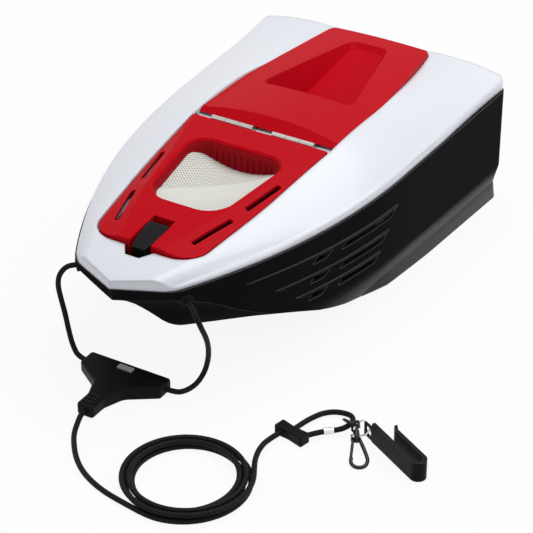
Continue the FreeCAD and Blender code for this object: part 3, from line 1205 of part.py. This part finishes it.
# Snap hook: eye with a stem, hook that turns on the stem, sprung gate with its pin
point, wire_way = on_link(s.eye_turn)
slope = math.radians(s.snap_drop)
out = side_way(s.snap_heading) * math.cos(slope) - Vector(0, 0, math.sin(slope))
out = unit(out - wire_way * out.dot(wire_way))
centre = point + out * (s.eye_radius - s.eye_wire - s.link_wire - s.ring_gap)
snap = axes_place(centre, out, Vector(0, 0, -1))
barrel = s.eye_radius + s.eye_wire + s.ring_gap
neck = barrel + s.barrel_long
eye = Part.makeTorus(s.eye_radius, s.eye_wire, Vector(), Vector(0, 0, 1))
eye.Placement = Placement(Vector(), axes_place(Vector(), out, wire_way).Rotation)
eye.translate(centre)
stem = Part.makeCylinder(s.stem_radius, barrel + s.barrel_long / 2 - s.eye_radius,
                         centre + out * s.eye_radius, out)
node(feature("eye", eye.fuse(stem)), "swivel_eye")
hook = Part.makeCylinder(s.barrel_radius, s.barrel_long, Vector(barrel, 0, 0), Vector(1, 0, 0))
hook = hook.cut(Part.makeCylinder(s.stem_radius + s.pin_clear, s.barrel_long / 2 + s.ring_gap,
                                  Vector(barrel, 0, 0), Vector(1, 0, 0)))
hook = hook.fuse(Part.makeCone(s.barrel_radius, s.shoulder_radius, s.shoulder_long, Vector(neck, 0, 0),
                               Vector(1, 0, 0)))
HOOK_SHARES = ((0.02, -0.2), (0.3, -0.55), (0.55, -0.82), (0.78, -1.0), (0.97, -0.6), (1.0, 0.35),
               (0.86, 0.95), (0.68, 0.84))
GATE_PIVOT_SHARE = 0.4
points = [Vector(neck + x * s.hook_long, y * s.hook_half, 0) for x, y in HOOK_SHARES]
edges = route_edges(points)
ring = Part.Wire([Part.Circle(points[0], unit(points[1] - points[0]), s.hook_wire).toShape()])
hook = hook.fuse(Part.Wire(edges).makePipeShell([ring], True, False))
pivot = Vector(neck + s.shoulder_long / 2, s.hook_half * GATE_PIVOT_SHARE, 0)
eye_radius = s.gate_pin_radius + s.gate_radius
for side in (-1, 1):
    low = s.gate_radius + s.cord_clear if side > 0 else -2 * s.gate_radius - s.cord_clear
    hook = hook.fuse(Part.makeCylinder(eye_radius, s.gate_radius, pivot + Vector(0, 0, low)))
    hook = hook.fuse(level_box(neck, pivot.x, 0, pivot.y + eye_radius, low, low + s.gate_radius))
deep = s.gate_radius + s.cord_clear
hook = hook.cut(Part.makeCylinder(eye_radius + s.ring_gap, 2 * deep, pivot - Vector(0, 0, deep)))
tip_share, side_share = HOOK_SHARES[-1]
tip_end = Vector(neck + tip_share * s.hook_long - s.ring_gap - s.gate_radius, s.hook_half * side_share, 0)
reach = (tip_end - pivot).Length
room = s.gate_radius + s.ring_gap
for swing in (0, s.gate_open / 2, s.gate_open):
    path = level_box(0, reach, -room, room, -deep, deep)
    heading = Rotation(Vector(0, 0, 1), -swing).multVec(unit(tip_end - pivot))
    path.Placement = axes_place(pivot, heading, Vector(0, 0, 1))
    hook = hook.cut(path)
half = deep + s.gate_radius
pin_hole = Part.makeCylinder(s.gate_pin_radius, 2 * half, pivot - Vector(0, 0, half))
node(feature("hook", hook.cut(pin_hole)), "snap_hook", snap)
gate = Part.makeCylinder(eye_radius, 2 * s.gate_radius, pivot - Vector(0, 0, s.gate_radius))
gate = gate.fuse(Part.makeCylinder(s.gate_radius, reach, pivot, unit(tip_end - pivot)))
gate = gate.cut(Part.makeCylinder(s.gate_pin_radius + s.pin_clear, 2 * s.gate_radius,
                                  pivot - Vector(0, 0, s.gate_radius)))
node(feature("gate", gate), "snap_gate", snap)
node(feature("gate_rod", pin_hole), "gate_pin", snap)

doc.recompute()
for item in doc.Objects:
    if "Invalid" in item.State or "Error" in item.State:
        raise RuntimeError("object not made: " + item.Name)
for label, item in nodes.items():
    if item.Shape.isNull() or not item.Shape.isValid() or len(item.Shape.Solids) != 1:
        raise RuntimeError("shape not sound: " + label)
os.makedirs("parts", exist_ok=True)
for label, item in nodes.items():
    item.Shape.exportStep(f"parts/{label}.step")
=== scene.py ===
import math

import bmesh
import bpy
from mathutils import Euler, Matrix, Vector


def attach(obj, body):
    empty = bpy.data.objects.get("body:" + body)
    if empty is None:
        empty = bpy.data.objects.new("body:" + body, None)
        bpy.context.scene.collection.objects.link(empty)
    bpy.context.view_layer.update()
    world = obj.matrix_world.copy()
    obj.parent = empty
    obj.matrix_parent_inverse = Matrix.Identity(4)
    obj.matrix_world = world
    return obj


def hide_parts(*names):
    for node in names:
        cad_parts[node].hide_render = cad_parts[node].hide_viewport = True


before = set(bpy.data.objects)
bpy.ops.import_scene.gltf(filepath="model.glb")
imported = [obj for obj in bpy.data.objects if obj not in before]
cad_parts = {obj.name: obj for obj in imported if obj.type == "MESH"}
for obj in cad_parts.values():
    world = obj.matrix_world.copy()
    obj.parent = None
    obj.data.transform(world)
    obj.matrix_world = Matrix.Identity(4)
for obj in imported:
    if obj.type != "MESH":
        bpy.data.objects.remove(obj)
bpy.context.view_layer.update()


# Hull: one thin-walled moulding in black plastic with a fine spark-eroded grain, open at the top. Its flange
# carries the deck, and the louvres in its sides let water through the hold. A pale painted highlight runs
# along the sharp edges, the bow is matt, and the bilge behind it is rubbed smooth where the boat is set down
# and dragged.
class Value:
    """A shader socket that adds Math nodes where it meets an operator."""

    def __init__(self, tree, socket):
        self.tree = tree
        self.socket = socket

    def math(self, operation, first, second=0.0):
        node = self.tree.nodes.new("ShaderNodeMath")
        node.operation = operation
        for socket, value in zip(node.inputs, (first, second)):
            plug(self.tree, socket, value)
        return Value(self.tree, node.outputs[0])

    def __add__(self, other):
        return self.math("ADD", self, other)

    def __radd__(self, other):
        return self.math("ADD", other, self)

    def __sub__(self, other):
        return self.math("SUBTRACT", self, other)

    def __rsub__(self, other):
        return self.math("SUBTRACT", other, self)

    def __mul__(self, other):
        return self.math("MULTIPLY", self, other)

    def __rmul__(self, other):
        return self.math("MULTIPLY", other, self)


def plug(tree, socket, value):
    """Links a wrapped socket, or sets a plain value."""
    if isinstance(value, Value):
        tree.links.new(value.socket, socket)
    else:
        socket.default_value = value


class Finish:
    """A material made of a Principled shader and the nodes that vary it."""

    def __init__(self, name, **constants):
        self.material = bpy.data.materials.new(name)
        self.material.use_nodes = True
        self.tree = self.material.node_tree
        self.shader = self.tree.nodes["Principled BSDF"]
        self.set(**constants)

    def set(self, **values):
        for name, value in values.items():
            plug(self.tree, self.shader.inputs[name.replace("_", " ")], value)

    def node(self, kind, settings=None, output=0, **inputs):
        made = self.tree.nodes.new("ShaderNode" + kind)
        for name, value in (settings or {}).items():
            setattr(made, name, value)
        for name, value in inputs.items():
            plug(self.tree, made.inputs[name.replace("_", " ")], value)
        return Value(self.tree, made.outputs[output])

    def place(self, output="Object"):
        return self.node("TexCoord", output=output)

    def axis(self, name, vector=None):
        return self.node("SeparateXYZ", output=name, Vector=vector or self.place())

    def noise(self, scale, detail, vector=None):
        return self.node("TexNoise", Vector=vector or self.place(), Scale=scale, Detail=detail)

    def mix(self, factor, first, second):
        made = self.tree.nodes.new("ShaderNodeMix")
        made.data_type = "RGBA"
        for index, value in ((0, factor), (6, first), (7, second)):
            plug(self.tree, made.inputs[index], (*value, 1.0) if isinstance(value, tuple) else value)
        return Value(self.tree, made.outputs[2])

    def ramp(self, value, low, high):
        """0 at low, 1 at high, straight in between."""
        return self.node("MapRange", Value=value, From_Min=low, From_Max=high)

    def rounded(self, radius):
        """The normal that the surface has once its edges are rounded."""
        return self.node("Bevel", {"samples": 6}, Radius=radius)

    def edges(self, radius):
        """1 along sharp edges, where a rounded normal leaves the true one, and 0 on the faces."""
        made = self.tree.nodes.new("ShaderNodeVectorMath")
        made.operation = "DOT_PRODUCT"
        plug(self.tree, made.inputs[0], self.rounded(radius))
        plug(self.tree, made.inputs[1], self.node("NewGeometry", output="Normal"))
        return self.ramp(1.0 - Value(self.tree, made.outputs["Value"]), low=0.022, high=0.09)

    def bump(self, height, depth, strength, **below):
        self.set(Normal=self.node("Bump", Height=height, Distance=depth, Strength=strength, **below))

    def mottle(self, pattern, dark, light, rough, rise, depth, strength):
        """Tone, roughness and relief that all follow one pattern."""
        self.set(Base_Color=self.mix(pattern, dark, light), Roughness=rough + rise * pattern)
        self.bump(pattern, depth, strength)

    def paint(self, *names):
        for name in names:
            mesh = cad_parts[name].data
            mesh.materials.clear()
            mesh.materials.append(self.material)


bilge_top, bilge_foot = 0.032, 0.008
matt_until, smooth_from = -0.12, 0.06
hull_plastic = Finish("hull_plastic", Specular_IOR_Level=0.005, Coat_Roughness=0.25)
grain = hull_plastic.noise(scale=1800.0, detail=3.0)
cloud = hull_plastic.noise(scale=14.0, detail=3.0)
black = hull_plastic.mix(cloud, (0.006, 0.006, 0.0065), (0.010, 0.010, 0.011))
# Painted highlight: the edge mask paints a pale line along every sharp edge of the hull.
painted_edge_highlight = 0.6 * hull_plastic.edges(radius=0.0016)
low = hull_plastic.ramp(hull_plastic.axis("Z"), bilge_top, bilge_foot)
aft = hull_plastic.ramp(hull_plastic.axis("Y"), matt_until, smooth_from)
hull_plastic.set(Base_Color=hull_plastic.mix(painted_edge_highlight, black, (0.16, 0.16, 0.163)),
                 Roughness=0.36 + 0.12 * cloud + 0.06 * grain + 0.42 * (1.0 - aft),
                 Coat_Weight=0.9 * low * aft)
hull_plastic.bump(grain, depth=0.00012, strength=0.35)
hull_plastic.paint("hull_shell")

# Ballast plate: a flat iron plate with a rough dark coat, screwed down on the hull's floor
# so that the boat floats upright.
iron_coat = Finish("coated_iron", Metallic=0.4)
iron_coat.mottle(iron_coat.noise(scale=260.0, detail=4.0), dark=(0.05, 0.05, 0.052), light=(0.11, 0.11, 0.11),
                 rough=0.5, rise=0.2, depth=0.0003, strength=0.5)
iron_coat.paint("ballast_plate")

# Floats: two blocks cut from pale closed-cell foam and glued under the hull's flange,
# one on each side of the hold.
foam = Finish("foam", Specular_IOR_Level=0.2)
cells = foam.node("TexVoronoi", Vector=foam.place(), Scale=420.0)
foam.mottle(cells, dark=(0.62, 0.62, 0.60), light=(0.78, 0.78, 0.76),
            rough=0.8, rise=0.1, depth=0.0005, strength=0.5)
foam.paint("float_left", "float_right")

# Deck: a gloss white moulding with a faint cool tint and softened edges, screwed down on the hull's flange.
# Its collar stands round the hatch and its ledge carries the rear panel.
deck_plastic = Finish("deck_plastic", Specular_IOR_Level=0.5, Coat_Weight=0.25, Coat_Roughness=0.08)
flow = deck_plastic.noise(scale=6.0, detail=2.0)
skin = deck_plastic.noise(scale=900.0, detail=2.0)
deck_plastic.set(Base_Color=deck_plastic.mix(flow, (0.70, 0.72, 0.78), (0.75, 0.77, 0.83)),
                 Roughness=0.22 + 0.08 * flow + 0.04 * skin)
deck_plastic.bump(skin, depth=0.00005, strength=0.12, Normal=deck_plastic.rounded(radius=0.004))
deck_plastic.paint("deck_shell")

# Rear panel and front lid: red mouldings with a smooth skin. The panel with its hand well is screwed up
# from the deck's ledge, and the lid hangs on two hinges at the panel's front edge.
red_plastic = Finish("red_plastic", Specular_IOR_Level=0.035)
flow = red_plastic.noise(scale=9.0, detail=2.0)
skin = red_plastic.noise(scale=1100.0, detail=2.0)
red_plastic.set(Base_Color=red_plastic.mix(flow, (0.47, 0.001, 0.006), (0.53, 0.002, 0.011)),
                Roughness=0.27 + 0.08 * flow + 0.05 * skin)
red_plastic.bump(skin, depth=0.00006, strength=0.3)
red_plastic.paint("rear_panel", "front_lid")

# Chute collar: a ribbed ring in the lid's red, clipped under the lid's window; its red is painted darker, as
# painted shade on the wall inside the window.
# It holds the net and leads the fish down into the hold.
chute_plastic = Finish("chute_plastic", Specular_IOR_Level=0.08)
# Painted shade: these reds are darker copies of the lid's red, for the wall inside the window.
chute_plastic.mottle(chute_plastic.noise(scale=60.0, detail=3.0), dark=(0.26, 0.002, 0.006),
                     light=(0.36, 0.003, 0.009), rough=0.45, rise=0.15, depth=0.0001, strength=0.4)
chute_plastic.paint("chute_collar")

# Net: two pale knitted flaps held in the chute collar, which lap along a slanting slit; fish are pushed down
# between them. The sides follow the lid's slope, and the rear edge is free and dips in its middle. The holes
# are painted dark, as painted shade of the hold seen through them; this painted shade fades to a bright band
# along the slit, is strongest on one side of it and weaker on the other, as painted light and shade on the
# net's fold.
slit_turn = math.radians(43.5)
slit_middle = Vector((0.0, -0.0755, 0.0))
lap = 0.0045
net_thick = 0.0006
net_level = 0.1265
net_slope = 0.062
net_hang = 0.002
rear_dip = 0.011
flap_rise = 0.0012
window_rear_half, window_rear, window_rear_round = 0.046, -0.028, 0.015
window_front_half, window_front, window_front_round = 0.033, -0.121, 0.021
corner_steps = 7
cloth_half = 0.055
cloth_middle = -0.0745
cloth_cells = 90

net = Finish("knitted_net", Specular_IOR_Level=0.2)
stitch_scale = 130.0
turned = net.node("Mapping", Vector=net.place(), Rotation=Euler((0, 0, math.radians(38))))
rows = net.node("TexWave", {"bands_direction": "X"}, Vector=turned, Scale=stitch_scale)
columns = net.node("TexWave", {"bands_direction": "Y"}, Vector=turned, Scale=stitch_scale)
along_slit = net.node("Mapping", {"vector_type": "TEXTURE"}, Vector=net.place(), Location=slit_middle,
                      Rotation=Euler((0, 0, slit_turn)))
across = net.axis("Y", along_slit)
# Painted light and shade of the net's fold: none in a band along the slit, full on one side, 0.4 on the
# other.
fold_shade = net.ramp(across, low=0.002, high=0.008) + 0.4 * net.ramp(across, low=-0.016, high=-0.032)
gaps = rows.math("MINIMUM", rows, columns)
# The holes are painted dark, as painted shade of the hold behind the net, scaled by the fold's painted shade.
holes_and_shade = net.ramp(gaps, low=0.48, high=0.70) * (0.12 + 0.8 * fold_shade)
net.set(Base_Color=net.mix(holes_and_shade, (0.73, 0.74, 0.69), (0.10, 0.085, 0.05)), Roughness=0.7 + 0.1 * holes_and_shade)
net.bump(1 - gaps, depth=0.0004, strength=0.6)


def window_edge():
    """Points along the window's rounded outline, anticlockwise."""
    corners = [(window_front_half, window_front, window_front_round),
               (window_rear_half, window_rear, window_rear_round),
               (-window_rear_half, window_rear, window_rear_round),
               (-window_front_half, window_front, window_front_round)]
    edge = []
    for i, (x, y, radius) in enumerate(corners):
        here = Vector((x, y))
        before = (Vector(corners[i - 1][:2]) - here).normalized()
        after = (Vector(corners[(i + 1) % len(corners)][:2]) - here).normalized()
        half = before.angle(after) / 2
        hub = here + (before + after).normalized() * (radius / math.sin(half))
        start = here + before * (radius / math.tan(half)) - hub
        for k in range(corner_steps + 1):
            angle = (math.pi - 2 * half) * k / corner_steps
            edge.append(hub + Vector((start.x * math.cos(angle) - start.y * math.sin(angle),
                                      start.x * math.sin(angle) + start.y * math.cos(angle))))
    return edge


def net_height(x, y):
    """The net's sides follow the lid's slope, and its middle dips more and more towards the rear."""
    rear = (y - window_front) / (window_rear - window_front)
    half = window_front_half + (window_rear_half - window_front_half) * rear
    middle = max(0.0, 1 - (x / half) ** 2)
    return net_level + net_slope * y - middle * (net_hang + rear_dip * max(0.0, rear) ** 2)


def add(name, data):
    """An object for the data, in the scene and at the origin."""
    made = bpy.data.objects.new(name, data)
    bpy.context.collection.objects.link(made)
    return made


def net_flap(name, node, side, rise):
    """A fine grid cut to the window and, on one side, to the slit, then lowered to its hang."""
    mesh = bmesh.new()
    bmesh.ops.create_grid(mesh, x_segments=cloth_cells, y_segments=cloth_cells, size=cloth_half)
    bmesh.ops.translate(mesh, verts=mesh.verts, vec=(0, cloth_middle, 0))
    edge = window_edge()
    planes = [(a, Vector(((b - a).y, -(b - a).x))) for a, b in zip(edge, edge[1:] + edge[:1])]
    over_slit = Vector((-math.sin(slit_turn), math.cos(slit_turn))) * side
    planes.append((slit_middle.xy - over_slit * lap, -over_slit))
    for point, outward in planes:
        everything = mesh.verts[:] + mesh.edges[:] + mesh.faces[:]
        bmesh.ops.bisect_plane(mesh, geom=everything, plane_co=(*point, 0), plane_no=(*outward, 0),
                               clear_outer=True)
    for vert in mesh.verts:
        vert.co.z = net_height(vert.co.x, vert.co.y) + rise
    area = sum(face.calc_area() for face in mesh.faces)
    data = bpy.data.meshes.new(name)
    mesh.to_mesh(data)
    mesh.free()
    for polygon in data.polygons:
        polygon.use_smooth = True
    data.materials.append(net.material)
    made = add(name, data)
    made.modifiers.new("thick", "SOLIDIFY").thickness = net_thick
    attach(made, "lid")
    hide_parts(node)


net_flap("net_flap_front", "net_front_flap", side=-1, rise=flap_rise)
net_flap("net_flap_rear", "net_rear_flap", side=1, rise=0.0)

# Hinges, pins and screws: stainless steel, brushed along the hinge line. The leaves are stamped and rolled
# round their pins, and the screws hold leaves, deck, panel and ballast.
steel = Finish("stainless", Metallic=1.0)
brushed = steel.node("Mapping", Vector=steel.place(), Scale=(60.0, 1600.0, 1600.0))
steel.mottle(steel.noise(scale=1.0, detail=3.0, vector=brushed), dark=(0.30, 0.28, 0.26),
             light=(0.50, 0.48, 0.45), rough=0.26, rise=0.16, depth=0.00004, strength=0.3)
steel.paint(*[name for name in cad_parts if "leaf" in name or "pin" in name or "screw" in name])

# Latch lever, yoke, stopper and belt clip: satin black mouldings, with a pale painted highlight along their
# corners.
# The lever turns on a pin in the lid's front, the yoke joins the bridle to the tow line,
# and the clip hangs on the split ring.
satin = Finish("satin_black", Specular_IOR_Level=0.06)
grain = satin.noise(scale=1500.0, detail=2.0)
cloud = satin.noise(scale=40.0, detail=3.0)
black = satin.mix(cloud, (0.004, 0.004, 0.0045), (0.010, 0.010, 0.011))
# Painted highlight: the edge mask paints a pale line along every corner of these parts.
painted_edge_highlight = 0.55 * satin.edges(radius=0.0007)
satin.set(Base_Color=satin.mix(painted_edge_highlight, black, (0.10, 0.10, 0.102)),
          Roughness=0.34 + 0.14 * cloud + 0.05 * grain)
satin.bump(grain, depth=0.0001, strength=0.3)
satin.paint("latch_lever", "bridle_yoke", "cord_stopper", "belt_clip")

# Yoke insert: a small satin metal plate let into the yoke's top.
# It is plated, and dull enough to look pale under the bow.
insert = Finish("satin_insert", Metallic=0.3)
insert.mottle(insert.noise(scale=300.0, detail=3.0), dark=(0.58, 0.58, 0.60), light=(0.72, 0.72, 0.74),
              rough=0.3, rise=0.15, depth=0.00004, strength=0.25)
insert.paint("yoke_insert")

# Grommets: black rubber with a slight bloom, moulded as flanged bushes
# and pushed into the hull's bow, where the bridle passes through.
rubber = Finish("grommet_rubber", Specular_IOR_Level=0.1)
rubber.mottle(rubber.noise(scale=500.0, detail=3.0), dark=(0.005, 0.005, 0.005), light=(0.012, 0.012, 0.012),
              rough=0.6, rise=0.15, depth=0.0001, strength=0.3)
rubber.paint("bow_grommet_left", "bow_grommet_right")

# Ferrule and split ring: nickel plated steel; the ferrule is crimped on the cord's loop
# and the split ring is wound from wire.
nickel = Finish("nickel", Metallic=1.0)
nickel.mottle(nickel.noise(scale=220.0, detail=3.0), dark=(0.66, 0.66, 0.68), light=(0.80, 0.80, 0.82),
              rough=0.24, rise=0.16, depth=0.00003, strength=0.2)
nickel.paint("loop_ferrule", "split_ring")

# Link ring, swivel eye, snap hook and gate: black plated wire and pressings. The hook turns in the eye,
# and the gate springs on a pin across the hook.
plated = Finish("black_plate", Metallic=0.85)
plated.mottle(plated.noise(scale=260.0, detail=3.0), dark=(0.012, 0.012, 0.013), light=(0.04, 0.04, 0.043),
              rough=0.2, rise=0.16, depth=0.00004, strength=0.25)
plated.paint("link_ring", "swivel_eye", "snap_hook", "snap_gate")

# Bridle: two strands of black braided cord. Each is stopped by a knot behind its bow grommet, hangs from
# the bow to the floor and is moulded into an arm of the yoke.
cord = 0.0046
pick = 0.0042
plait = 4
knot_cord = Finish("knotted_cord", Specular_IOR_Level=0.12)
knot_cord.mottle(knot_cord.noise(scale=700.0, detail=2.0), dark=(0.003, 0.003, 0.003),
                 light=(0.010, 0.010, 0.011), rough=0.5, rise=0.2, depth=0.0002, strength=0.5)
knot_cord.paint("bridle_knot_left", "bridle_knot_right")


def braid(name, length):
    """The braided sheath: strands that cross both ways round the cord, a set number of picks along it."""
    sheath = Finish(name + "_braid", Specular_IOR_Level=0.12)
    surface = sheath.place("UV")
    along = sheath.axis("X", surface) * (2 * math.pi * length / pick)
    around = sheath.axis("Y", surface) * (2 * math.pi * plait)
    right = along.math("SINE", along + around)
    left = along.math("SINE", along - around)
    crossed = sheath.ramp(right.math("MAXIMUM", right, left), low=0.0, high=1.0)
    fuzz = sheath.noise(scale=900.0, detail=2.0)
    sheath.set(Base_Color=sheath.mix(crossed * fuzz, (0.0015, 0.0015, 0.0015), (0.012, 0.012, 0.013)),
               Roughness=0.45 + 0.25 * fuzz)
    sheath.bump(crossed, depth=0.0003, strength=0.6)
    return sheath.material


def cord_curve(name, route, node, length):
    """A cord on one smooth spline along its route, in the place of its plain solid."""
    curve = bpy.data.curves.new(name, "CURVE")
    curve.dimensions = "3D"
    curve.bevel_depth = cord / 2
    curve.bevel_resolution = 5
    curve.resolution_u = 6
    curve.use_fill_caps = True
    spline = curve.splines.new("NURBS")
    spline.points.add(len(route) - 1)
    for point, place in zip(spline.points, route):
        point.co = (*place, 1.0)
    spline.order_u = 3
    spline.use_endpoint_u = True
    curve.materials.append(braid(name, length))
    made = add(name, curve)
    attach(made, "boat")
    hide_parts(node)
    return made


def diameters(rows):
    """Points given in cord diameters, as the routes are laid out."""
    return [Vector(row) * cord for row in rows]


grommet = Vector((0.053080, -0.198361, 0.0906))
grommet_way = Vector((0.827420, -0.534058, -0.173659))
grommet_out = 0.0028
knot_depth = 0.0122
yoke_rear = -0.203
yoke_middle = 0.0062
yoke_half = 0.040
yoke_arm = 0.0085
seat = 0.004
left_length = 0.1233
left_route = diameters([(-13.5, -44.1, 19.15), (-14.7, -44.8, 17.4), (-15.05, -44.9, 15.1),
                        (-14.75, -44.6, 12.2), (-14.1, -44.4, 8.9), (-13.25, -44.7, 5.4),
                        (-12.0, -45.3, 2.85), (-10.4, -45.9, 1.55)])
right_length = 0.1506
right_route = diameters([(13.5, -44.1, 19.15), (14.75, -44.6, 17.4), (15.25, -43.9, 15.1),
                         (15.05, -42.2, 12.2), (14.35, -40.5, 9.0), (13.5, -39.3, 5.65), (12.85, -39.6, 2.7),
                         (12.3, -41.6, 1.0), (11.5, -44.2, 0.75), (10.3, -45.8, 1.1)])
yoke_pieces = ["bridle_yoke", "yoke_insert"]
for name, side, route, length, carried in (("left", -1, left_route, left_length, []),
                                           ("right", 1, right_route, right_length, yoke_pieces)):
    mirror = Vector((side, 1, 1))
    inner = (grommet - grommet_way * knot_depth) * mirror
    outer = (grommet + grommet_way * grommet_out) * mirror
    arm = Vector((side * (yoke_half - seat), yoke_rear - yoke_arm, yoke_middle))
    strand = cord_curve("bridle_strand_" + name, [inner, outer] + route + [arm], "bridle_" + name, length)

# Tow line: the same braided cord, moulded into the yoke's stem. It lies in a flat coil, which spirals in
# on the floor, climbs and spirals out again on top, and runs on into the cord stopper.
coil_middle = Vector((0.1175, -0.302, 0.0))
coil_radius = 0.053
coil_pitch = 0.0058
coil_climb = 0.0052
coil_start = -98 / 360
turns_in, turns_up, turns_out = 1.93, 0.5, 1.93
points_per_turn = 16
yoke_long = 0.069
tow_length = 1.5032


def coil_point(turn):
    """A control point of the coil; it stands just outside the line, which cuts the corners."""
    inward = min(turn, turns_in) - max(turn - turns_in - turns_up, 0.0)
    rise = min(max((turn - turns_in) / turns_up, 0.0), 1.0)
    radius = (coil_radius - coil_pitch * inward) / math.cos(math.pi / points_per_turn)
    angle = 2 * math.pi * (turn + coil_start)
    height = cord / 2 + coil_climb * rise * rise * (3 - 2 * rise)
    return coil_middle + Vector((radius * math.cos(angle), radius * math.sin(angle), height))


stem = Vector((0.0, yoke_rear - yoke_long, yoke_middle))
stem_seat = Vector((0.0, seat, 0.0))
lead = diameters([(0.33, -61.5, 0.78), (1.52, -64.5, 0.5), (3.48, -67.3, 0.5), (5.98, -70.2, 0.5),
                  (9.02, -72.7, 0.5), (12.5, -74.5, 0.5), (16.2, -75.7, 0.5), (20.1, -76.4, 0.5)])
all_turns = turns_in + turns_up + turns_out
count = round(all_turns * points_per_turn)
coil = [coil_point((i + 0.5) * all_turns / count) for i in range(count)]
tail = diameters([(34.1, -57.4, 1.63), (33.0, -55.2, 1.25), (32.1, -52.5, 1.05), (31.87, -49.6, 1.05)])
tow_end = Vector((0.151178, -0.210035, 0.0045))
tow_route = [stem + stem_seat, stem - stem_seat] + lead + coil + tail + [tow_end]
tow = cord_curve("tow_cord", tow_route, "tow_line", tow_length)

# Ring loop: the line's end, which leaves the stopper, carries the rings, snap and clip,
# and goes back into the stopper through its crimped ferrule.
loop_length = 0.1203
loop_start = Vector((0.156894, -0.206855, 0.0045))
loop_end = Vector((0.168524, -0.209326, 0.0045))
loop_route = diameters([(34.75, -41.55, 1.0), (35.15, -39.2, 0.7), (35.9, -37.05, 0.57), (37.5, -35.55, 0.57),
                        (39.55, -35.25, 0.78), (41.25, -35.9, 1.17), (42.3, -37.35, 1.37),
                        (42.2, -39.13, 1.37), (41.25, -40.65, 1.17), (38.35, -42.9, 1.05)])
loop = cord_curve("ring_loop", [loop_start] + loop_route + [loop_end], "loop_cord", loop_length)

# Floor: a sheet of white studio paper, laid flat. It looks white to the eye and in reflections,
# and still takes the boat's soft shadow.
floor_half = 6.0
paper_white = 0.91
floor_mesh = bmesh.new()
bmesh.ops.create_grid(floor_mesh, x_segments=1, y_segments=1, size=floor_half)
floor_data = bpy.data.meshes.new("studio_floor")
floor_mesh.to_mesh(floor_data)
floor_mesh.free()
floor = add("studio_floor", floor_data)
paper = Finish("studio_paper", Base_Color=(0.86, 0.86, 0.87, 1), Roughness=0.9)


def seen(tree):
    """1 for rays from the camera, and for those that a mirror or glass sends on."""
    rays = tree.nodes.new("ShaderNodeLightPath")
    camera, glossy, through = (Value(tree, rays.outputs[name])
                               for name in ("Is Camera Ray", "Is Glossy Ray", "Is Transmission Ray"))
    return camera + glossy + through


glow = paper.tree.nodes.new("ShaderNodeEmission")
blend = paper.tree.nodes.new("ShaderNodeMixShader")
plug(paper.tree, blend.inputs[0], seen(paper.tree) * paper_white)
paper.tree.links.new(paper.shader.outputs[0], blend.inputs[1])
paper.tree.links.new(glow.outputs[0], blend.inputs[2])
paper.tree.links.new(blend.outputs[0], paper.tree.nodes["Material Output"].inputs["Surface"])
floor_data.materials.append(paper.material)

# Light: a white surround that lights weakly, one broad lamp above and behind the boat,
# and two weaker ones at the bow and on the right.
surround = 0.35
world = bpy.data.worlds.new("studio")
bpy.context.scene.world = world
world.use_nodes = True
background = world.node_tree.nodes["Background"]
background.inputs["Color"].default_value = (1.0, 1.0, 1.0, 1)
plug(world.node_tree, background.inputs["Strength"], surround + (1 - surround) * seen(world.node_tree))


def lamp(name, place, target, size, power):
    light = bpy.data.lights.new(name, "AREA")
    light.shape = "RECTANGLE"
    light.size, light.size_y = size
    light.energy = power
    made = add(name, light)
    made.location = place
    made.rotation_euler = (Vector(target) - Vector(place)).to_track_quat("-Z", "Y").to_euler()


lamp("top_lamp", place=(0.15, 0.45, 1.7), target=(0, 0, 0.1), size=(1.6, 1.6), power=22.0)
lamp("bow_lamp", place=(-0.9, -1.4, 1.0), target=(0, 0, 0.1), size=(1.0, 0.8), power=3.0)
lamp("side_lamp", place=(1.6, 0.1, 0.9), target=(0, 0, 0.08), size=(0.5, 1.4), power=5.0)

# Camera: a long lens on the photograph's own line of sight,
# which looks down over the right side of the bow.
camera_data = bpy.data.cameras.new("camera")
camera_data.sensor_width = 36.0
camera_data.lens = 148.80
camera_data.clip_end = 20.0
camera = add("camera", camera_data)
camera.location = (0.877387, -1.446518, 1.051040)
turn, rise = math.radians(30.96), math.radians(31.86)
back = Vector((math.sin(turn) * math.cos(rise), -math.cos(turn) * math.cos(rise), math.sin(rise)))
camera.rotation_euler = (-back).to_track_quat("-Z", "Y").to_euler()
bpy.context.scene.camera = camera
bpy.context.scene.view_settings.view_transform = "Standard"
